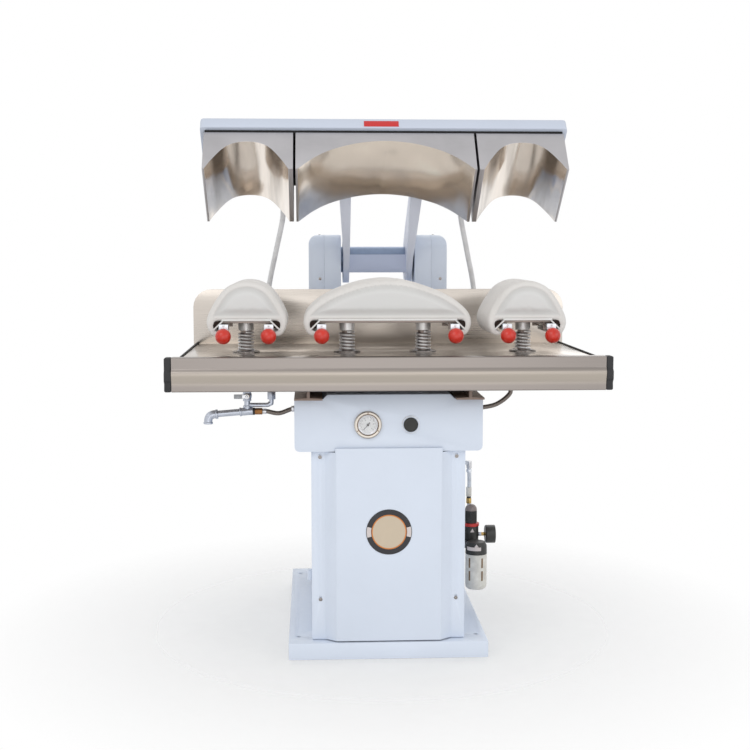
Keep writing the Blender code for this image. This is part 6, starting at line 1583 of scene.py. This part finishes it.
def make_steam_gauge():
    """The steam gauge with its rim, dial and window."""
    rim, liner, inlay, window = (turned(profile, GAUGE_AT, FRONT, 96) for profile in
                                 (RIM_PROFILE, LINER_PROFILE, INLAY_PROFILE, WINDOW_PROFILE))
    dial = bar(GAUGE_AT + BACK * 0.0010, GAUGE_AT + FRONT * 0.0030, 0.0225, 96)
    case = bar(GAUGE_AT + BACK * 0.040, GAUGE_AT + BACK * 0.003, 0.031, 64)
    notch = slab((0.0295, -0.0014, 0.0070), (0.0350, 0.0014, 0.00925), 0.0004, 2)
    notches = ringed(notch, 3, 90, 360, BROWN_INLAY)
    notches.transform(Matrix.Translation(GAUGE_AT) @ FACING)
    face = Matrix.Translation(GAUGE_AT + FRONT * 0.0030) @ FACING
    marks = []
    for inner, half_width, count in ((0.0178, 0.0005, 11), (0.0197, 0.00022, 51)):
        tick = block((inner, -half_width, 0), (0.0212, half_width, 0.0003))
        ticks = ringed(tick, count, -45, DIAL_SWEEP, INK)
        ticks.transform(face)
        marks.append(ticks)
    for i in range(DIAL_MARKS + 1):
        turn = math.radians(DIAL_START - DIAL_SWEEP / DIAL_MARKS * i)
        off = Vector((NUMERAL_RING * math.cos(turn), -0.0032, NUMERAL_RING * math.sin(turn)))
        marks.append(numeral(str(i), GAUGE_AT + off))
    stand_in("pressure_gauge", [(rim, NICKEL), (dial, DIAL), (liner, STEEL),
                                *all_in(BROWN_INLAY, inlay, notches), (case, PLASTIC), (window, GLASS),
                                *all_in(INK, *marks)])


def make_needle():
    angle = math.radians(NEEDLE_TURN)
    ahead = Vector((math.sin(angle), 0, math.cos(angle)))
    side = Vector((math.cos(angle), 0, -math.sin(angle)))
    start = GAUGE_AT + FRONT * 0.0038
    tail, tip = start - ahead * 0.008, start + ahead * 0.0190
    blade = loft([[point + FRONT * lift for point in (tail - side * 0.0014, tail + side * 0.0014,
                                                      tip + side * 0.0003, tip - side * 0.0003)]
                  for lift in (0.0, 0.0008)])
    hub = rounded(bar(start, start + FRONT * 0.0016, 0.0035, 32), 0.0004, 2)
    stand_in("gauge_needle", all_in(INK, blade, hub), 40)


def make_button():
    """The start button in its ring."""
    ring = turned(BUTTON_RING_PROFILE, BUTTON_AT, FRONT, 96)
    show("button_ring", "frame", "pale", [(ring, PALE_RING)])
    cap = turned(BUTTON_PROFILE, BUTTON_AT, FRONT, 96)
    stem = bar(BUTTON_AT + FRONT * 0.006, BUTTON_AT + BACK * 0.026, 0.008, 32)
    nut = rounded(bar(BUTTON_AT + BACK * 0.0033, BUTTON_AT + BACK * 0.0073, 0.012, 6), 0.0006, 2)
    stand_in("start_button", [(cap, BUTTON_BLACK), (stem, PLASTIC), (nut, STEEL)])


MEDALLION_AT = Vector((0, COVER_FRONT - SEATED, 0.3635))
# Outer and inner radius, height and finish of each ring
MEDALLION = ((0.064, 0.049, 0.0012, DARK_RIM), (0.049, 0.046, 0.0016, ORANGE), (0.046, 0.0, 0.0012, DISC))
GAP_OUTER, GAP_INNER, GAP_HALF = 0.0625, 0.0505, 14
TAG_LEFT, TAG_RIGHT, TAG_LOW, TAG_HIGH = -0.060, 0.040, 0.0161, 0.0376


def make_medallion():
    """A bare enamelled medallion on the front cover, its dark rim broken by a pale gap at each side."""
    parts = [(turned([(inner, height), (outer, height), (outer, 0.0), (inner, 0.0)], MEDALLION_AT, FRONT, 96),
              material) for outer, inner, height, material in MEDALLION]
    for middle in (0, 180):
        turns = [math.radians(middle - GAP_HALF + 2 * GAP_HALF * i / 10) for i in range(11)]
        ring = [(radius * math.cos(turn), radius * math.sin(turn))
                for radius, way in ((GAP_OUTER, turns), (GAP_INNER, turns[::-1])) for turn in way]
        gap = outline([ring], "XZ", -0.0018, -0.0006)
        gap.transform(Matrix.Translation(MEDALLION_AT))
        parts.append((gap, CREAM))
    show("cover_medallion", "frame", "paint", parts)


def make_red_tag():
    """A bare red plate on the front of the hood."""
    front = CHEST_FRONT - 0.009
    mesh = slab((TAG_LEFT, front - 0.0012, CHEST_TOP + TAG_LOW), (TAG_RIGHT, front, CHEST_TOP + TAG_HIGH),
                0.0005, 2)
    mesh.transform(OPENING)
    show("red_tag", "head", "red_plastic", [(mesh, RED_PLATE)])


make_surround()
make_lamps()
make_floor()
make_camera()
make_sheet_metal()
make_pads()
make_bucks()
make_levers()
for row in CHESTS:
    make_chest(*row)
dressed("pivot_shaft", SHAFT_STEEL, 0)
for side, values in HEAD_HOSES.items():
    make_head_hose(side, *values)
make_steam_pipe()
make_valve_handle()
make_side_hoses()
make_filter()
make_regulator()
make_regulator_knob()
make_regulator_gauge()
make_air_line()
make_steam_gauge()
make_needle()
make_button()
make_medallion()
make_red_tag()
for name in ("air_cylinder", "piston_rod"):
    dressed(name, STEEL, 0)

bpy.data.scenes.remove(BENCH)
